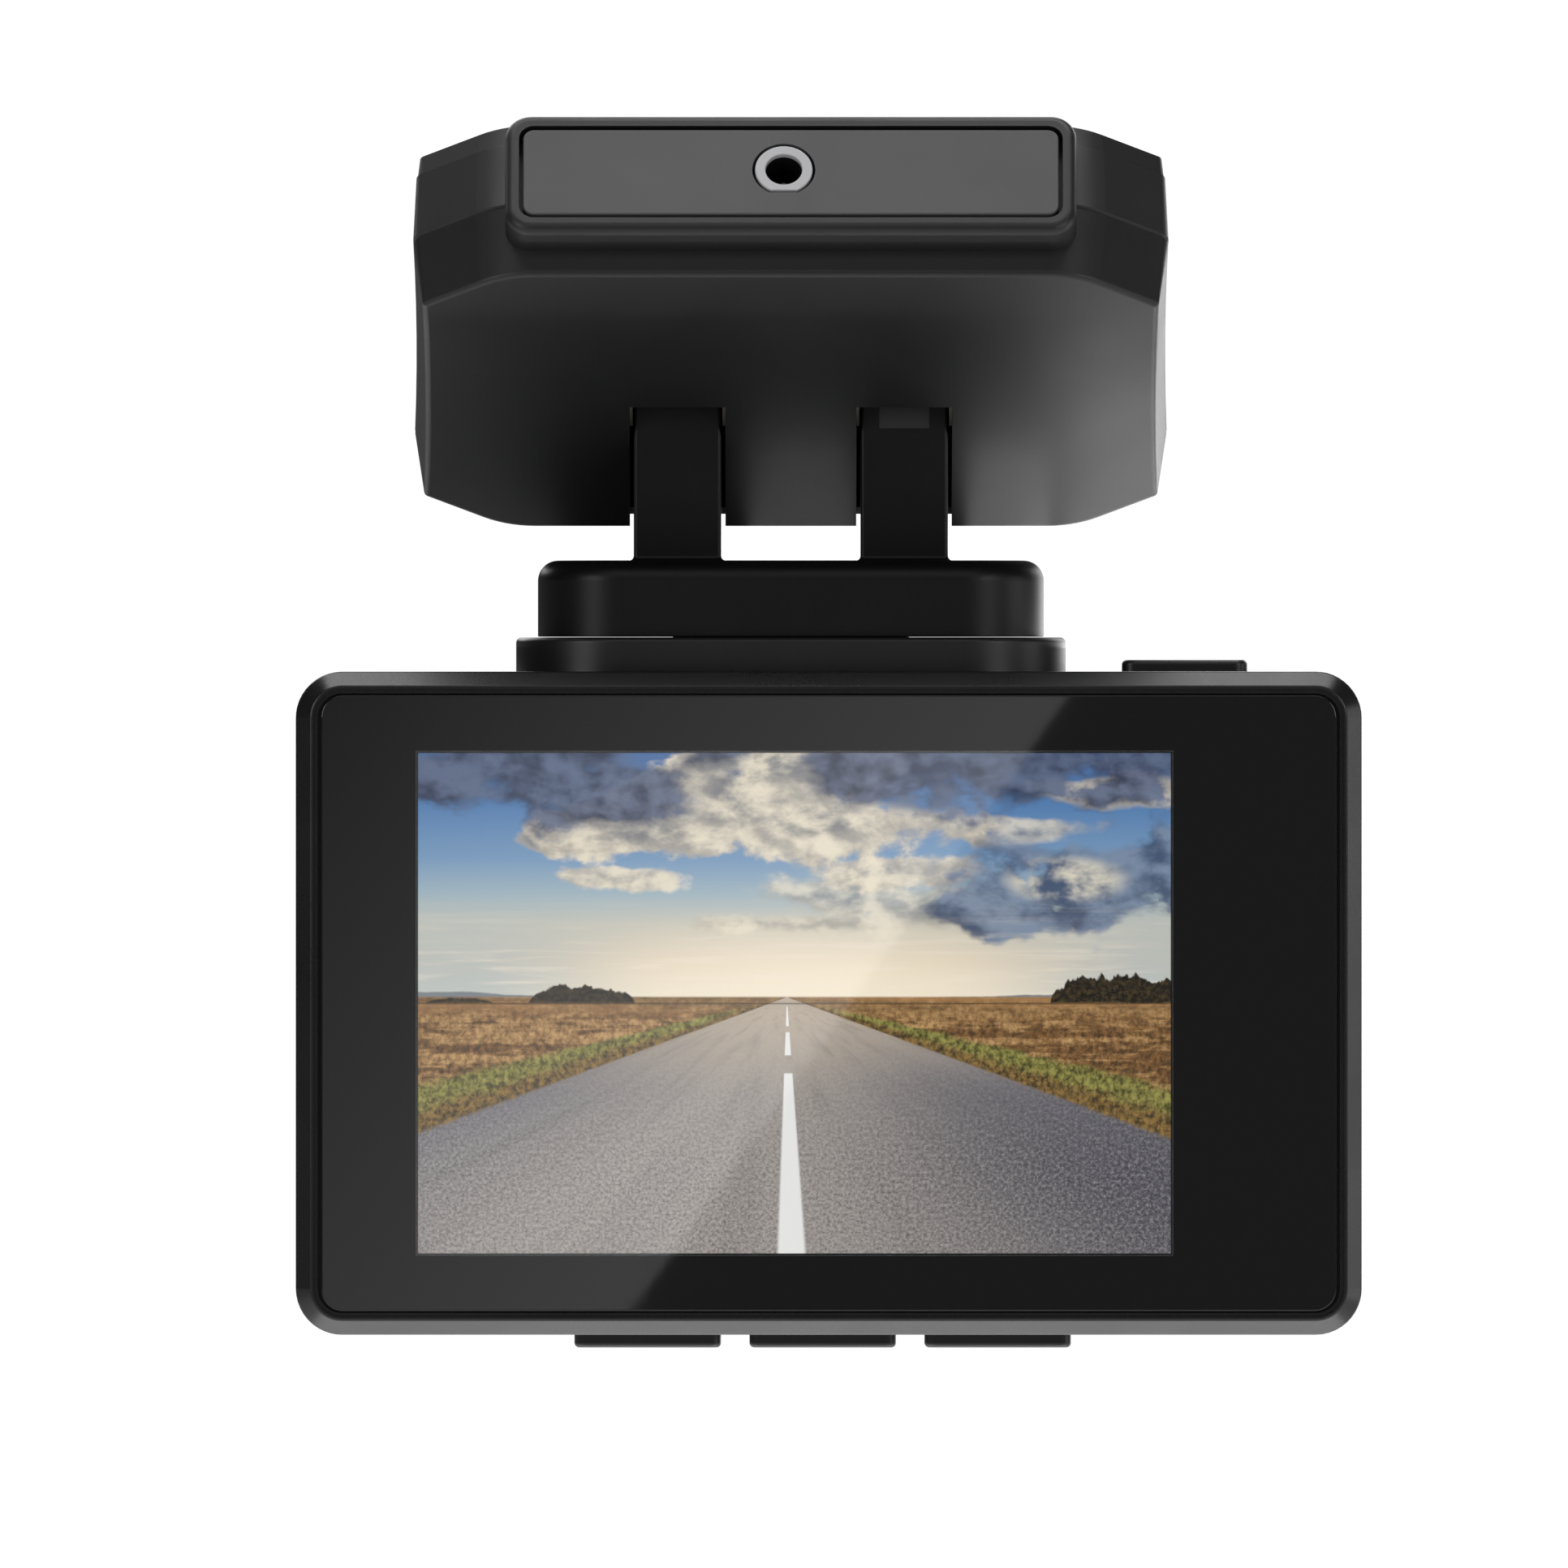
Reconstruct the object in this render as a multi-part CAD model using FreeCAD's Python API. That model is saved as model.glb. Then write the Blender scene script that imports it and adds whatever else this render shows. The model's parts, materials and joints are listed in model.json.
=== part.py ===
"""Windscreen radar detector and dash camera: a tilting, magnetically docked unit on a stick-on head.

Millimetres.  +X is to the driver's right, +Y is forward, towards the road, and +Z is up.
The origin is the centre of the adhesive pad's outer face, which lies on the windscreen.

Three local frames keep the sizes readable:
  head     x across, y forward along the glass, z out through the glass; origin at the pad's centre
  bracket  x, y, z as the row, origin on the tilt hinge's axis
  unit     x, z from the case's centre, y from the case's rear edge forward
"""

import FreeCAD, Part
import math
import os

Vector = FreeCAD.Vector

# ---------------------------------------------------------------- driving dimensions
WINDSCREEN_ANGLE = 35.0  # glass from horizontal, in degrees, with the unit upright

# head, measured in its own frame
HEAD_WIDTH = 63.8
HEAD_LENGTH = 38.7
SHOULDER_START = 21.7  # half length of the straight front and rear edges
SHOULDER_RADIUS = 9.0
SHOULDER_TURN = 33.0  # degrees
HEAD_CORNER_RADIUS = 1.2
HEAD_WAIST = 0.2  # how far the sides bow in
HEAD_WALL = 1.6
PAD_THICKNESS = 0.8
PAD_INSET = 2.0
BACKPLATE_THICKNESS = 2.0
UPPER_HEIGHT = 6.55
LOWER_HEIGHT = 6.7
SEAM_DEPTH = 0.2  # V-groove where two mouldings meet
UNDERSIDE_DRAFT = 0.85
UNDERSIDE_EDGE = 0.5

PAD_BACK = -PAD_THICKNESS
BACKPLATE_BACK = PAD_BACK - BACKPLATE_THICKNESS
HEAD_SEAM = BACKPLATE_BACK - UPPER_HEIGHT
HEAD_UNDERSIDE = HEAD_SEAM - LOWER_HEIGHT
HEAD_FLOOR = HEAD_UNDERSIDE + HEAD_WALL
HEAD_REAR = -HEAD_LENGTH / 2
HEAD_FRONT = HEAD_LENGTH / 2

# tilt hinge, in the head's frame
PIVOT_Y = 5.5
PIVOT_Z = -11.0
PIN_RADIUS = 1.5
PIN_HALF_LENGTH = 16.8
ARM_SPACING = 9.6  # arm centre from the middle
ARM_WIDTH = 7.4
ARM_RADIUS = 3.6  # knuckle radius, and half the arm's thickness
SLOT_WIDTH = 8.1
SLOT_REAR = 0.85
SLOT_FRONT = 17.7
SLOT_LIP = 1.6  # height of the notch through the front wall
POCKET_ROOF = -7.1
POCKET_WALL = 1.5
WASHER_THICKNESS = 0.25
WASHER_RADIUS = 3.0
CLIP_THICKNESS = 0.6
RUNNING_GAP = 0.05

# power socket on the head's rear
SOCKET_FRAME_WIDTH = 48.2
SOCKET_FRAME_HEIGHT = 12.15
SOCKET_FRAME_RADIUS = 2.2
SOCKET_FRAME_REACH = 2.4  # how far it stands out of the head
SOCKET_CENTRE_Z = -7.7
SOCKET_PANEL_WIDTH = 45.2
SOCKET_PANEL_HEIGHT = 8.8
SOCKET_PANEL_GAP = 0.35
SOCKET_FACE = HEAD_REAR - SOCKET_FRAME_REACH
JACK_X = -0.6
JACK_Z = -7.45
JACK_RADIUS = 1.55
JACK_FLANGE_RADIUS = 2.43
JACK_FLAT = 2.16  # the flange's flat below the jack's axis
JACK_PIN_RADIUS = 0.5
JACK_PIN_SET_BACK = 2.4
JACK_TAIL_RADIUS = 0.25
JACK_FLANGE_THICKNESS = 0.45
JACK_DEPTH = 8.2

# bracket, measured from the hinge axis
BASE_TOP = -14.43
BASE_WIDTH = 42.8
BASE_DEPTH = 27.0
BASE_HEIGHT = 6.4
BASE_RADIUS = 7.0
BASE_EDGE = 1.7
BASE_WALL = 1.5
BASE_BOTTOM = BASE_TOP - BASE_HEIGHT
TONGUE_WIDTH = 20.0
TONGUE_DEPTH = 9.0
TONGUE_HEIGHT = 1.2
MAGNET_WIDTH = 8.0
MAGNET_DEPTH = 16.0
BRACKET_MAGNET_X = 15.0
CONTACT_COUNT = 6
CONTACT_PITCH = 2.2
ARM_EDGE = 0.3
SHOE_WIDTH = 4.2
SHOE_BOTTOM = -3.2  # the friction shoe's ends, from the hinge axis
SHOE_TOP = 1.5

# unit
CASE_WIDTH = 90.0
CASE_HEIGHT = 56.0
CASE_DEPTH = 34.0
CASE_RADIUS = 3.9
CASE_WALL = 1.8
CASE_OFFSET_X = 3.2  # the case's centre from the mount's centre
CASE_REAR_FROM_PIVOT = -18.0
FRAME_DEPTH = 5.5
FRAME_LIP = 1.5
FRAME_BAND = 1.25  # sloped band round the rim
FRAME_BAND_EDGE = 0.3
FRAME_STEP = 0.35  # lower step between the rim and the glass
GLASS_WIDTH = 85.8
GLASS_HEIGHT = 52.1
GLASS_RADIUS = 1.9
GLASS_THICKNESS = 1.1
GLASS_SET_BACK = 0.15
DISPLAY_X = -2.9  # picture centre from the case's centre
PICTURE_WIDTH = 63.6
PICTURE_HEIGHT = 42.3
TAPER_START = 14.0
TAPER = 1.8  # how far the sides and the bottom draw in towards the front
FRONT_EDGE = 2.6
DOCK_GAP = 0.1
PLINTH_WIDTH = 46.5
PLINTH_DEPTH = 29.0
PLINTH_HEIGHT = 2.9
PLINTH_RADIUS = 8.5
RECESS_DEPTH = 1.75
DOCK_MAGNET_X = 16.0
DOCK_MAGNET_HEIGHT = 1.5

CASE_TOP = CASE_HEIGHT / 2
CASE_SIDE = CASE_WIDTH / 2
INNER_TOP = CASE_TOP - CASE_WALL
INNER_SIDE = CASE_SIDE - CASE_WALL
FRONT_WALL = CASE_DEPTH - CASE_WALL
PLINTH_TOP = CASE_TOP + PLINTH_HEIGHT
PLINTH_X = -CASE_OFFSET_X
PLINTH_Y = -CASE_REAR_FROM_PIVOT

# keys: centre along X, width, side of the case (+1 top, -1 bottom), how far it stands out
KEY_Y = 10.2
KEY_DEPTH = 4.2
KEY_GAP = 0.15
KEY_FLANGE = 0.8
KEY_FLANGE_LIP = 0.9
KEY_TRAVEL = 0.5
BOTTOM_KEY_WIDTH = 12.4
BOTTOM_KEY_PITCH = 14.8
BOTTOM_KEY_MIDDLE = -0.5
BOTTOM_KEY_REACH = 1.15
POWER_KEY_X = 30.1
POWER_KEY_WIDTH = 10.6
POWER_KEY_REACH = 1.0
KEYS = {
    "power_button": (POWER_KEY_X, POWER_KEY_WIDTH, 1, POWER_KEY_REACH),
    "button_left": (BOTTOM_KEY_MIDDLE - BOTTOM_KEY_PITCH, BOTTOM_KEY_WIDTH, -1, BOTTOM_KEY_REACH),
    "button_middle": (BOTTOM_KEY_MIDDLE, BOTTOM_KEY_WIDTH, -1, BOTTOM_KEY_REACH),
    "button_right": (BOTTOM_KEY_MIDDLE + BOTTOM_KEY_PITCH, BOTTOM_KEY_WIDTH, -1, BOTTOM_KEY_REACH),
}

# main board and what stands on it, from the case's rear edge
BOARD_REAR = 7.0
BOARD_THICKNESS = 1.2
BOARD_FRONT = BOARD_REAR + BOARD_THICKNESS
BOARD_LEFT = -39.8
BOARD_RIGHT = 36.0
BOARD_HALF_HEIGHT = 23.6
BOARD_POSTS = ((-38.7, 17.0), (-38.7, -17.0), (34.3, 20.0), (34.3, -20.0))
UPPER_BOARD_REAR = 13.4  # the radar and camera boards, on spacers
UPPER_BOARD_THICKNESS = 1.0

# camera, radar and laser, on the case's front
CAMERA_X = 21.0
CAMERA_Z = 1.0
TURRET_RADIUS = 15.5
TURRET_FRONT = 39.5
LENS_RING_RADIUS = 12.0
LENS_RING_LIP = 13.2
LENS_BARREL_RADIUS = 6.2
LENS_GLASS_RADIUS = 5.0
WINDOW_X = -21.5
WINDOW_Z = 1.0
WINDOW_WIDTH = 39.0
WINDOW_HEIGHT = 30.0
WINDOW_RADIUS = 4.0
WINDOW_DEPTH = 1.2
HORN_X = -28.5
HORN_WIDTH = 22.0
HORN_HEIGHT = 19.0
LASER_X = -10.5
LASER_Z = 1.0
LASER_RADIUS = 5.5

# ports
CARD_Z = 9.0
CARD_WIDTH = 11.0
CARD_LENGTH = 15.0
CARD_THICKNESS = 0.8
CARD_Y = BOARD_FRONT + 1.1
USB_Z = -8.0
AV_Z = 8.0
AV_RADIUS = 1.3
AV_Y = BOARD_FRONT + 3.0
AV_DEPTH = 10.0

# fasteners
CASE_SCREW_X = (-40.4, 40.4)
CASE_SCREW_Z = (-23.4, 23.4)
HEAD_SCREW_X = 27.4
HEAD_SCREW_Y = 8.5
SCREW_RADIUS = 0.9
SCREW_HEAD_RADIUS = 1.7
SCREW_HEAD_HEIGHT = 1.0


# ---------------------------------------------------------------- helpers
def point(axis, a, b, along):
    """A point given by two measures across an axis and one along it."""
    return {
        "x": Vector(along, a, b),
        "y": Vector(a, along, b),
        "z": Vector(a, b, along),
    }[axis]


def block(x, y, z):
    """A box from three (low, high) pairs."""
    return Part.makeBox(x[1] - x[0], y[1] - y[0], z[1] - z[0], Vector(x[0], y[0], z[0]))


def rod(axis, radius, low, high, centre=(0.0, 0.0)):
    return Part.makeCylinder(radius, high - low, point(axis, *centre, low), point(axis, 0, 0, 1))


def cone(axis, low_radius, high_radius, low, high, centre=(0.0, 0.0)):
    start = point(axis, *centre, low)
    return Part.makeCone(low_radius, high_radius, high - low, start, point(axis, 0, 0, 1))


def outline(axis, width, height, radius, level, centre=(0.0, 0.0)):
    """A rounded rectangle's wire, across an axis."""
    across, up = centre
    half_w, half_h = width / 2, height / 2
    cut = radius * (1 - math.sqrt(0.5))
    edges = []
    for sa, sb in ((1, 1), (-1, 1), (-1, -1), (1, -1)):
        upright = (across + sa * half_w, up + sb * (half_h - radius))
        middle = (across + sa * (half_w - cut), up + sb * (half_h - cut))
        level_end = (across + sa * (half_w - radius), up + sb * half_h)
        corner = [point(axis, *p, level) for p in (upright, middle, level_end)]
        if sa != sb:
            corner.reverse()
        if edges:
            edges.append(Part.LineSegment(last, corner[0]).toShape())
        else:
            first = corner[0]
        edges.append(Part.Arc(*corner).toShape())
        last = corner[2]
    edges.append(Part.LineSegment(last, first).toShape())
    return Part.Wire(edges)


def plate(axis, width, height, radius, low, high, centre=(0.0, 0.0)):
    """A rounded rectangle, extruded along an axis."""
    face = Part.Face(outline(axis, width, height, radius, low, centre))
    return face.extrude(point(axis, 0, 0, high - low))


def loft(wires):
    return Part.makeLoft(wires, True, True)


def turned(profile, centre):
    """A solid turned about an axis along Y, from (radius, y) points."""
    points = [Vector(centre[0] + radius, y, centre[1]) for radius, y in profile]
    face = Part.Face(Part.makePolygon(points + points[:1]))
    return face.revolve(Vector(centre[0], 0, centre[1]), Vector(0, 1, 0), 360)


def lies_at(edge, axis, level, slack=1e-4):
    """Does the edge lie wholly in the plane across this axis at this level?"""
    box = edge.BoundBox
    low, high = {"x": (box.XMin, box.XMax), "y": (box.YMin, box.YMax), "z": (box.ZMin, box.ZMax)}[axis]
    return abs(low - level) < slack and abs(high - level) < slack


def soften(shape, radius, wanted):
    """Rounds the edges that wanted() picks."""
    return shape.makeFillet(radius, [e for e in shape.Edges if wanted(e)])


def cut_all(shape, tools):
    for tool in tools:
        shape = shape.cut(tool)
    return shape


def join(shapes):
    whole = shapes[0]
    for other in shapes[1:]:
        whole = whole.fuse(other)
    return whole.removeSplitter()


def group(shapes):
    return Part.makeCompound(shapes)


def mirrored_pair(x):
    return (-x, x)


def screw(axis, tip, seat, outward, centre):
    """A pan-head screw whose shank runs from the tip to the seat, with a cross recess in its head."""
    low, high = sorted((tip, seat))
    shank = rod(axis, SCREW_RADIUS, low, high, centre)
    top = seat + outward * SCREW_HEAD_HEIGHT
    low, high = sorted((seat, top))
    head = rod(axis, SCREW_HEAD_RADIUS, low, high, centre)
    head = soften(head, 0.3, lambda e: lies_at(e, axis, top))
    low, high = sorted((top, top - outward * 0.6))
    for a, b in ((2.0, 0.45), (0.45, 2.0)):
        head = head.cut(plate(axis, a, b, 0.1, low, high, centre))
    return shank.fuse(head)


# ---------------------------------------------------------------- head
def head_outline(inset, level):
    """The head's plan outline, drawn in by inset: straight ends, swept shoulders, waisted sides."""
    turn = math.radians(SHOULDER_TURN)
    half_w = HEAD_WIDTH / 2 - inset
    radius = SHOULDER_RADIUS - inset
    centre_y = HEAD_LENGTH / 2 - SHOULDER_RADIUS
    corner = max(HEAD_CORNER_RADIUS - inset, 0.3)
    reach = corner * math.tan((math.pi / 2 - turn) / 2)

    def on_shoulder(angle):
        return (SHOULDER_START + radius * math.sin(angle), centre_y + radius * math.cos(angle))

    end = on_shoulder(turn)
    drop = (half_w - end[0]) * math.tan(turn)
    meet_y = end[1] - drop
    side_end = (half_w, meet_y - reach)
    half_turn = (math.pi / 2 - turn) / 2
    quarter = [
        on_shoulder(0),
        on_shoulder(turn / 2),
        end,
        (half_w - reach * math.cos(turn), meet_y + reach * math.sin(turn)),
        (half_w - corner * (1 - math.cos(half_turn)), side_end[1] + corner * math.sin(half_turn)),
        side_end,
    ]
    edges = []
    quarters = []
    for sx, sy in ((1, 1), (1, -1), (-1, -1), (-1, 1)):
        points = [Vector(sx * x, sy * y, level) for x, y in quarter]
        quarters.append(points if sx * sy > 0 else points[::-1])
    waist = half_w - HEAD_WAIST
    bridges = [Vector(waist, 0, level), None, Vector(-waist, 0, level), None]
    for i, (shoulder, bridge) in enumerate(zip(quarters, bridges)):
        edges.append(Part.Arc(*shoulder[0:3]).toShape())
        edges.append(Part.LineSegment(shoulder[2], shoulder[3]).toShape())
        edges.append(Part.Arc(*shoulder[3:6]).toShape())
        following = quarters[(i + 1) % len(quarters)][0]
        if bridge is None:
            edges.append(Part.LineSegment(shoulder[5], following).toShape())
        else:
            edges.append(Part.Arc(shoulder[5], bridge, following).toShape())
    return Part.Wire(edges)


def head_layer(*levels):
    """A drafted layer of the head, from (level, inset) pairs."""
    return loft([head_outline(inset, level) for level, inset in levels])


def head_screw_places():
    return [(x, y) for x in mirrored_pair(HEAD_SCREW_X) for y in mirrored_pair(HEAD_SCREW_Y)]


def adhesive_pad():
    return Part.Face(head_outline(PAD_INSET, PAD_BACK)).extrude(Vector(0, 0, PAD_THICKNESS))


def backplate_blank():
    return head_layer((PAD_BACK, 0.55), (BACKPLATE_BACK, 0.35))


def head_backplate():
    body = backplate_blank()
    for centre in head_screw_places():
        seat = PAD_BACK - SCREW_HEAD_HEIGHT - 0.1
        body = body.cut(rod("z", SCREW_HEAD_RADIUS + 0.1, seat, PAD_BACK + 1, centre))
        body = body.cut(rod("z", SCREW_RADIUS + 0.1, BACKPLATE_BACK - 1, PAD_BACK, centre))
    return body


def upper_blank():
    return head_layer((BACKPLATE_BACK, 0.25), (HEAD_SEAM + SEAM_DEPTH, 0.0), (HEAD_SEAM, SEAM_DEPTH))


def lower_blank():
    body = head_layer(
        (HEAD_SEAM, SEAM_DEPTH), (HEAD_SEAM - SEAM_DEPTH, 0.02), (HEAD_UNDERSIDE, UNDERSIDE_DRAFT)
    )
    return soften(body, UNDERSIDE_EDGE, lambda e: lies_at(e, "z", HEAD_UNDERSIDE))


def socket_opening():
    """The hole in the head's rear wall that the socket frame's neck fills."""
    return plate("y", 44.1, 9.3, 1.0, HEAD_REAR - 1, HEAD_REAR + 5, (0, SOCKET_CENTRE_Z - 0.2))


def pocket(arm_x, grow, low, high):
    """The space for one knuckle, grown by a wall's thickness."""
    half = SLOT_WIDTH / 2 + grow
    return block((arm_x - half, arm_x + half), (SLOT_REAR - grow, SLOT_FRONT + grow), (low, high))


def head_upper_housing():
    wall = head_layer((BACKPLATE_BACK + 1, HEAD_WALL + 0.3), (HEAD_SEAM - 1, HEAD_WALL))
    body = upper_blank().cut(wall)
    roof_top = POCKET_ROOF + POCKET_WALL
    for arm_x in mirrored_pair(ARM_SPACING):
        cover = pocket(arm_x, POCKET_WALL, HEAD_SEAM, roof_top).common(upper_blank())
        body = body.fuse(cover).cut(pocket(arm_x, 0, HEAD_SEAM - 1, POCKET_ROOF))
    return body.cut(socket_opening()).removeSplitter()


def head_lower_housing():
    inside = head_layer((HEAD_SEAM + 1, HEAD_WALL), (HEAD_FLOOR, HEAD_WALL + 0.7))
    blank = lower_blank()
    body = blank.cut(inside)
    for arm_x in mirrored_pair(ARM_SPACING):
        walls = pocket(arm_x, POCKET_WALL, HEAD_FLOOR - 0.5, HEAD_SEAM)
        body = body.fuse(walls.common(blank))
        body = body.cut(pocket(arm_x, 0, HEAD_UNDERSIDE - 1, HEAD_SEAM + 1))
        notch_x = (arm_x - SLOT_WIDTH / 2, arm_x + SLOT_WIDTH / 2)
        body = body.cut(
            block(notch_x, (SLOT_FRONT - 1, HEAD_FRONT + 1), (HEAD_UNDERSIDE - 1, HEAD_UNDERSIDE + SLOT_LIP))
        )
    body = body.cut(socket_opening())
    for centre in head_screw_places():
        body = body.fuse(rod("z", 2.2, HEAD_FLOOR - 0.5, BACKPLATE_BACK - 0.1, centre))
        body = body.cut(rod("z", SCREW_RADIUS, HEAD_FLOOR + 1, BACKPLATE_BACK + 1, centre))
    for x in mirrored_pair(22.0):
        body = body.fuse(rod("z", 1.5, HEAD_FLOOR - 0.5, HEAD_BOARD_BOTTOM, (x, -6.5)))
    body = body.cut(rod("x", PIN_RADIUS, -PIN_HALF_LENGTH, PIN_HALF_LENGTH, (PIVOT_Y, PIVOT_Z)))
    return body.removeSplitter()


def socket_frame():
    """The rim round the power socket's panel; its back is shaped to the head it stands on."""
    rear = SOCKET_FACE
    centre = (0, SOCKET_CENTRE_Z)
    rim = plate("y", SOCKET_FRAME_WIDTH, SOCKET_FRAME_HEIGHT, SOCKET_FRAME_RADIUS, rear, HEAD_REAR + 1, centre)
    rim = soften(rim, 0.8, lambda e: lies_at(e, "y", rear))
    rim = cut_all(rim, [backplate_blank(), upper_blank(), lower_blank()])
    neck = plate("y", 44.0, 9.2, 1.0, HEAD_REAR - 0.5, HEAD_REAR + 3, (0, SOCKET_CENTRE_Z - 0.2))
    body = rim.fuse(neck)
    gap = 2 * SOCKET_PANEL_GAP
    recess = plate("y", SOCKET_PANEL_WIDTH + gap, SOCKET_PANEL_HEIGHT + gap, 1.3, rear - 1, rear + 1.6, centre)
    bore = plate("y", 41.0, 7.4, 0.8, rear, HEAD_REAR + 4, centre)
    return body.cut(recess).cut(bore).removeSplitter()


def d_shape(radius, flat, low, high):
    """A round plug with a flat on its lower side, about the jack's axis."""
    body = rod("y", radius, low, high, (JACK_X, JACK_Z))
    lower = (JACK_Z - radius - 1, JACK_Z - flat)
    return body.cut(block((JACK_X - radius - 1, JACK_X + radius + 1), (low - 1, high + 1), lower))


def socket_panel():
    face = SOCKET_FACE + 0.05
    body = plate("y", SOCKET_PANEL_WIDTH, SOCKET_PANEL_HEIGHT, 0.95, face, face + 1.5, (0, SOCKET_CENTRE_Z))
    body = soften(body, 0.15, lambda e: lies_at(e, "y", face))
    return body.cut(d_shape(JACK_FLANGE_RADIUS + 0.24, JACK_FLAT + 0.24, face - 1, face + 2))


def dc_socket_flange():
    body = d_shape(JACK_FLANGE_RADIUS, JACK_FLAT, SOCKET_FACE, SOCKET_FACE + JACK_FLANGE_THICKNESS)
    body = body.cut(rod("y", JACK_RADIUS, SOCKET_FACE - 1, SOCKET_FACE + 2, (JACK_X, JACK_Z)))
    return soften(body, 0.12, lambda e: lies_at(e, "y", SOCKET_FACE))


def jack_body_span():
    return SOCKET_FACE + 1.6, SOCKET_FACE + 1.6 + 10.0


def dc_socket_body():
    """A square body behind the panel, with a neck that carries the flange."""
    rear, front = jack_body_span()
    neck_rear = SOCKET_FACE + JACK_FLANGE_THICKNESS
    body = block((JACK_X - 3.6, JACK_X + 3.6), (rear, front), (JACK_Z - 3.4, JACK_Z + 3.4))
    body = body.fuse(d_shape(JACK_FLANGE_RADIUS, JACK_FLAT, neck_rear, rear)).removeSplitter()
    bore_end = SOCKET_FACE + JACK_DEPTH
    body = body.cut(rod("y", JACK_RADIUS, neck_rear - 1, bore_end, (JACK_X, JACK_Z)))
    return body.cut(rod("y", JACK_TAIL_RADIUS, bore_end - 1, front + 1, (JACK_X, JACK_Z)))


def dc_socket_pin():
    centre = (JACK_X, JACK_Z)
    bore_end = SOCKET_FACE + JACK_DEPTH
    tip = SOCKET_FACE + JACK_PIN_SET_BACK
    point_cone = cone("y", JACK_PIN_RADIUS - 0.2, JACK_PIN_RADIUS, tip, tip + 0.2, centre)
    shaft = rod("y", JACK_PIN_RADIUS, tip + 0.2, bore_end, centre)
    tail = rod("y", JACK_TAIL_RADIUS, bore_end, jack_body_span()[1] + 1.0, centre)
    return join([point_cone, shaft, tail])


HEAD_BOARD_TOP = -8.0
HEAD_BOARD_BOTTOM = -9.0


def head_board():
    body = block((-25.0, 25.0), (-12.5, -1.0), (HEAD_BOARD_BOTTOM, HEAD_BOARD_TOP))
    return body.cut(block((-6.0, 5.0), (-14.0, -8.2), (HEAD_BOARD_BOTTOM - 1, HEAD_BOARD_TOP + 1)))


def gps_antenna():
    """A ceramic patch with a silvered square on top and its feed pin in the middle."""
    x, y = (-23.0, -9.5), (-12.4, -1.2)
    body = block(x, y, (HEAD_BOARD_TOP, HEAD_BOARD_TOP + 4.0))
    silver = block((x[0] + 1.2, x[1] - 1.2), (y[0] + 1.0, y[1] - 1.0), (HEAD_BOARD_TOP + 4.0, HEAD_BOARD_TOP + 4.1))
    feed = rod("z", 0.6, HEAD_BOARD_TOP + 4.1, HEAD_BOARD_TOP + 4.5, ((x[0] + x[1]) / 2, (y[0] + y[1]) / 2))
    return join([body, silver, feed])


def gps_receiver():
    can = block((9.0, 21.0), (-12.0, -2.5), (HEAD_BOARD_TOP, HEAD_BOARD_TOP + 2.2))
    return soften(can, 0.3, lambda e: lies_at(e, "z", HEAD_BOARD_TOP + 2.2))


def head_screws():
    seat = PAD_BACK - SCREW_HEAD_HEIGHT - 0.1
    return group([screw("z", HEAD_FLOOR + 2.0, seat, 1, centre) for centre in head_screw_places()])


def hinge_pin():
    centre = (PIVOT_Y, PIVOT_Z)
    body = rod("x", PIN_RADIUS, -PIN_HALF_LENGTH, PIN_HALF_LENGTH, centre)
    for side in (-1, 1):
        low, high = sorted((side * clip_inner(), side * (clip_inner() + CLIP_THICKNESS)))
        ring = rod("x", PIN_RADIUS + 1, low, high, centre)
        body = body.cut(ring.cut(rod("x", PIN_RADIUS - 0.35, low, high, centre)))
    return soften(body, 0.25, lambda e: lies_at(e, "x", PIN_HALF_LENGTH) or lies_at(e, "x", -PIN_HALF_LENGTH))


def clip_inner():
    """The clips' inner faces lie against the outer walls of the knuckle pockets."""
    return ARM_SPACING + SLOT_WIDTH / 2 + POCKET_WALL


def hinge_clips():
    clips = []
    for side in (-1, 1):
        low, high = sorted((side * clip_inner(), side * (clip_inner() + CLIP_THICKNESS)))
        ring = rod("x", 2.7, low, high, (PIVOT_Y, PIVOT_Z))
        ring = ring.cut(rod("x", PIN_RADIUS - 0.35, low - 1, high + 1, (PIVOT_Y, PIVOT_Z)))
        mouth = block((low - 1, high + 1), (PIVOT_Y - 0.9, PIVOT_Y + 0.9), (PIVOT_Z, PIVOT_Z + 5))
        clips.append(ring.cut(mouth))
    return group(clips)


def hinge_washers():
    """Friction washers each side of both knuckles, resting on the pocket walls."""
    washers = []
    for arm_x in mirrored_pair(ARM_SPACING):
        for side in (-1, 1):
            outer = arm_x + side * SLOT_WIDTH / 2
            low, high = sorted((outer, outer - side * WASHER_THICKNESS))
            ring = rod("x", WASHER_RADIUS, low, high, (PIVOT_Y, PIVOT_Z))
            washers.append(ring.cut(rod("x", PIN_RADIUS, low - 1, high + 1, (PIVOT_Y, PIVOT_Z))))
    return group(washers)


# ---------------------------------------------------------------- bracket
FLEX_Y = -2.55
FLEX_WIDTH = 4.6
FLEX_THICKNESS = 0.3
BRACKET_SCREW_X = 8.2
BRACKET_SCREW_Y = 9.6
BRACKET_BOARD_TOP = BASE_TOP - BASE_WALL - 0.6
BRACKET_BOARD_BOTTOM = BRACKET_BOARD_TOP - 0.8
COVER_TOP = BASE_BOTTOM + 1.5
TONGUE_BOTTOM = BASE_BOTTOM - TONGUE_HEIGHT


def bracket_screw_places():
    return [(x, y) for x in mirrored_pair(BRACKET_SCREW_X) for y in mirrored_pair(BRACKET_SCREW_Y)]


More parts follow.
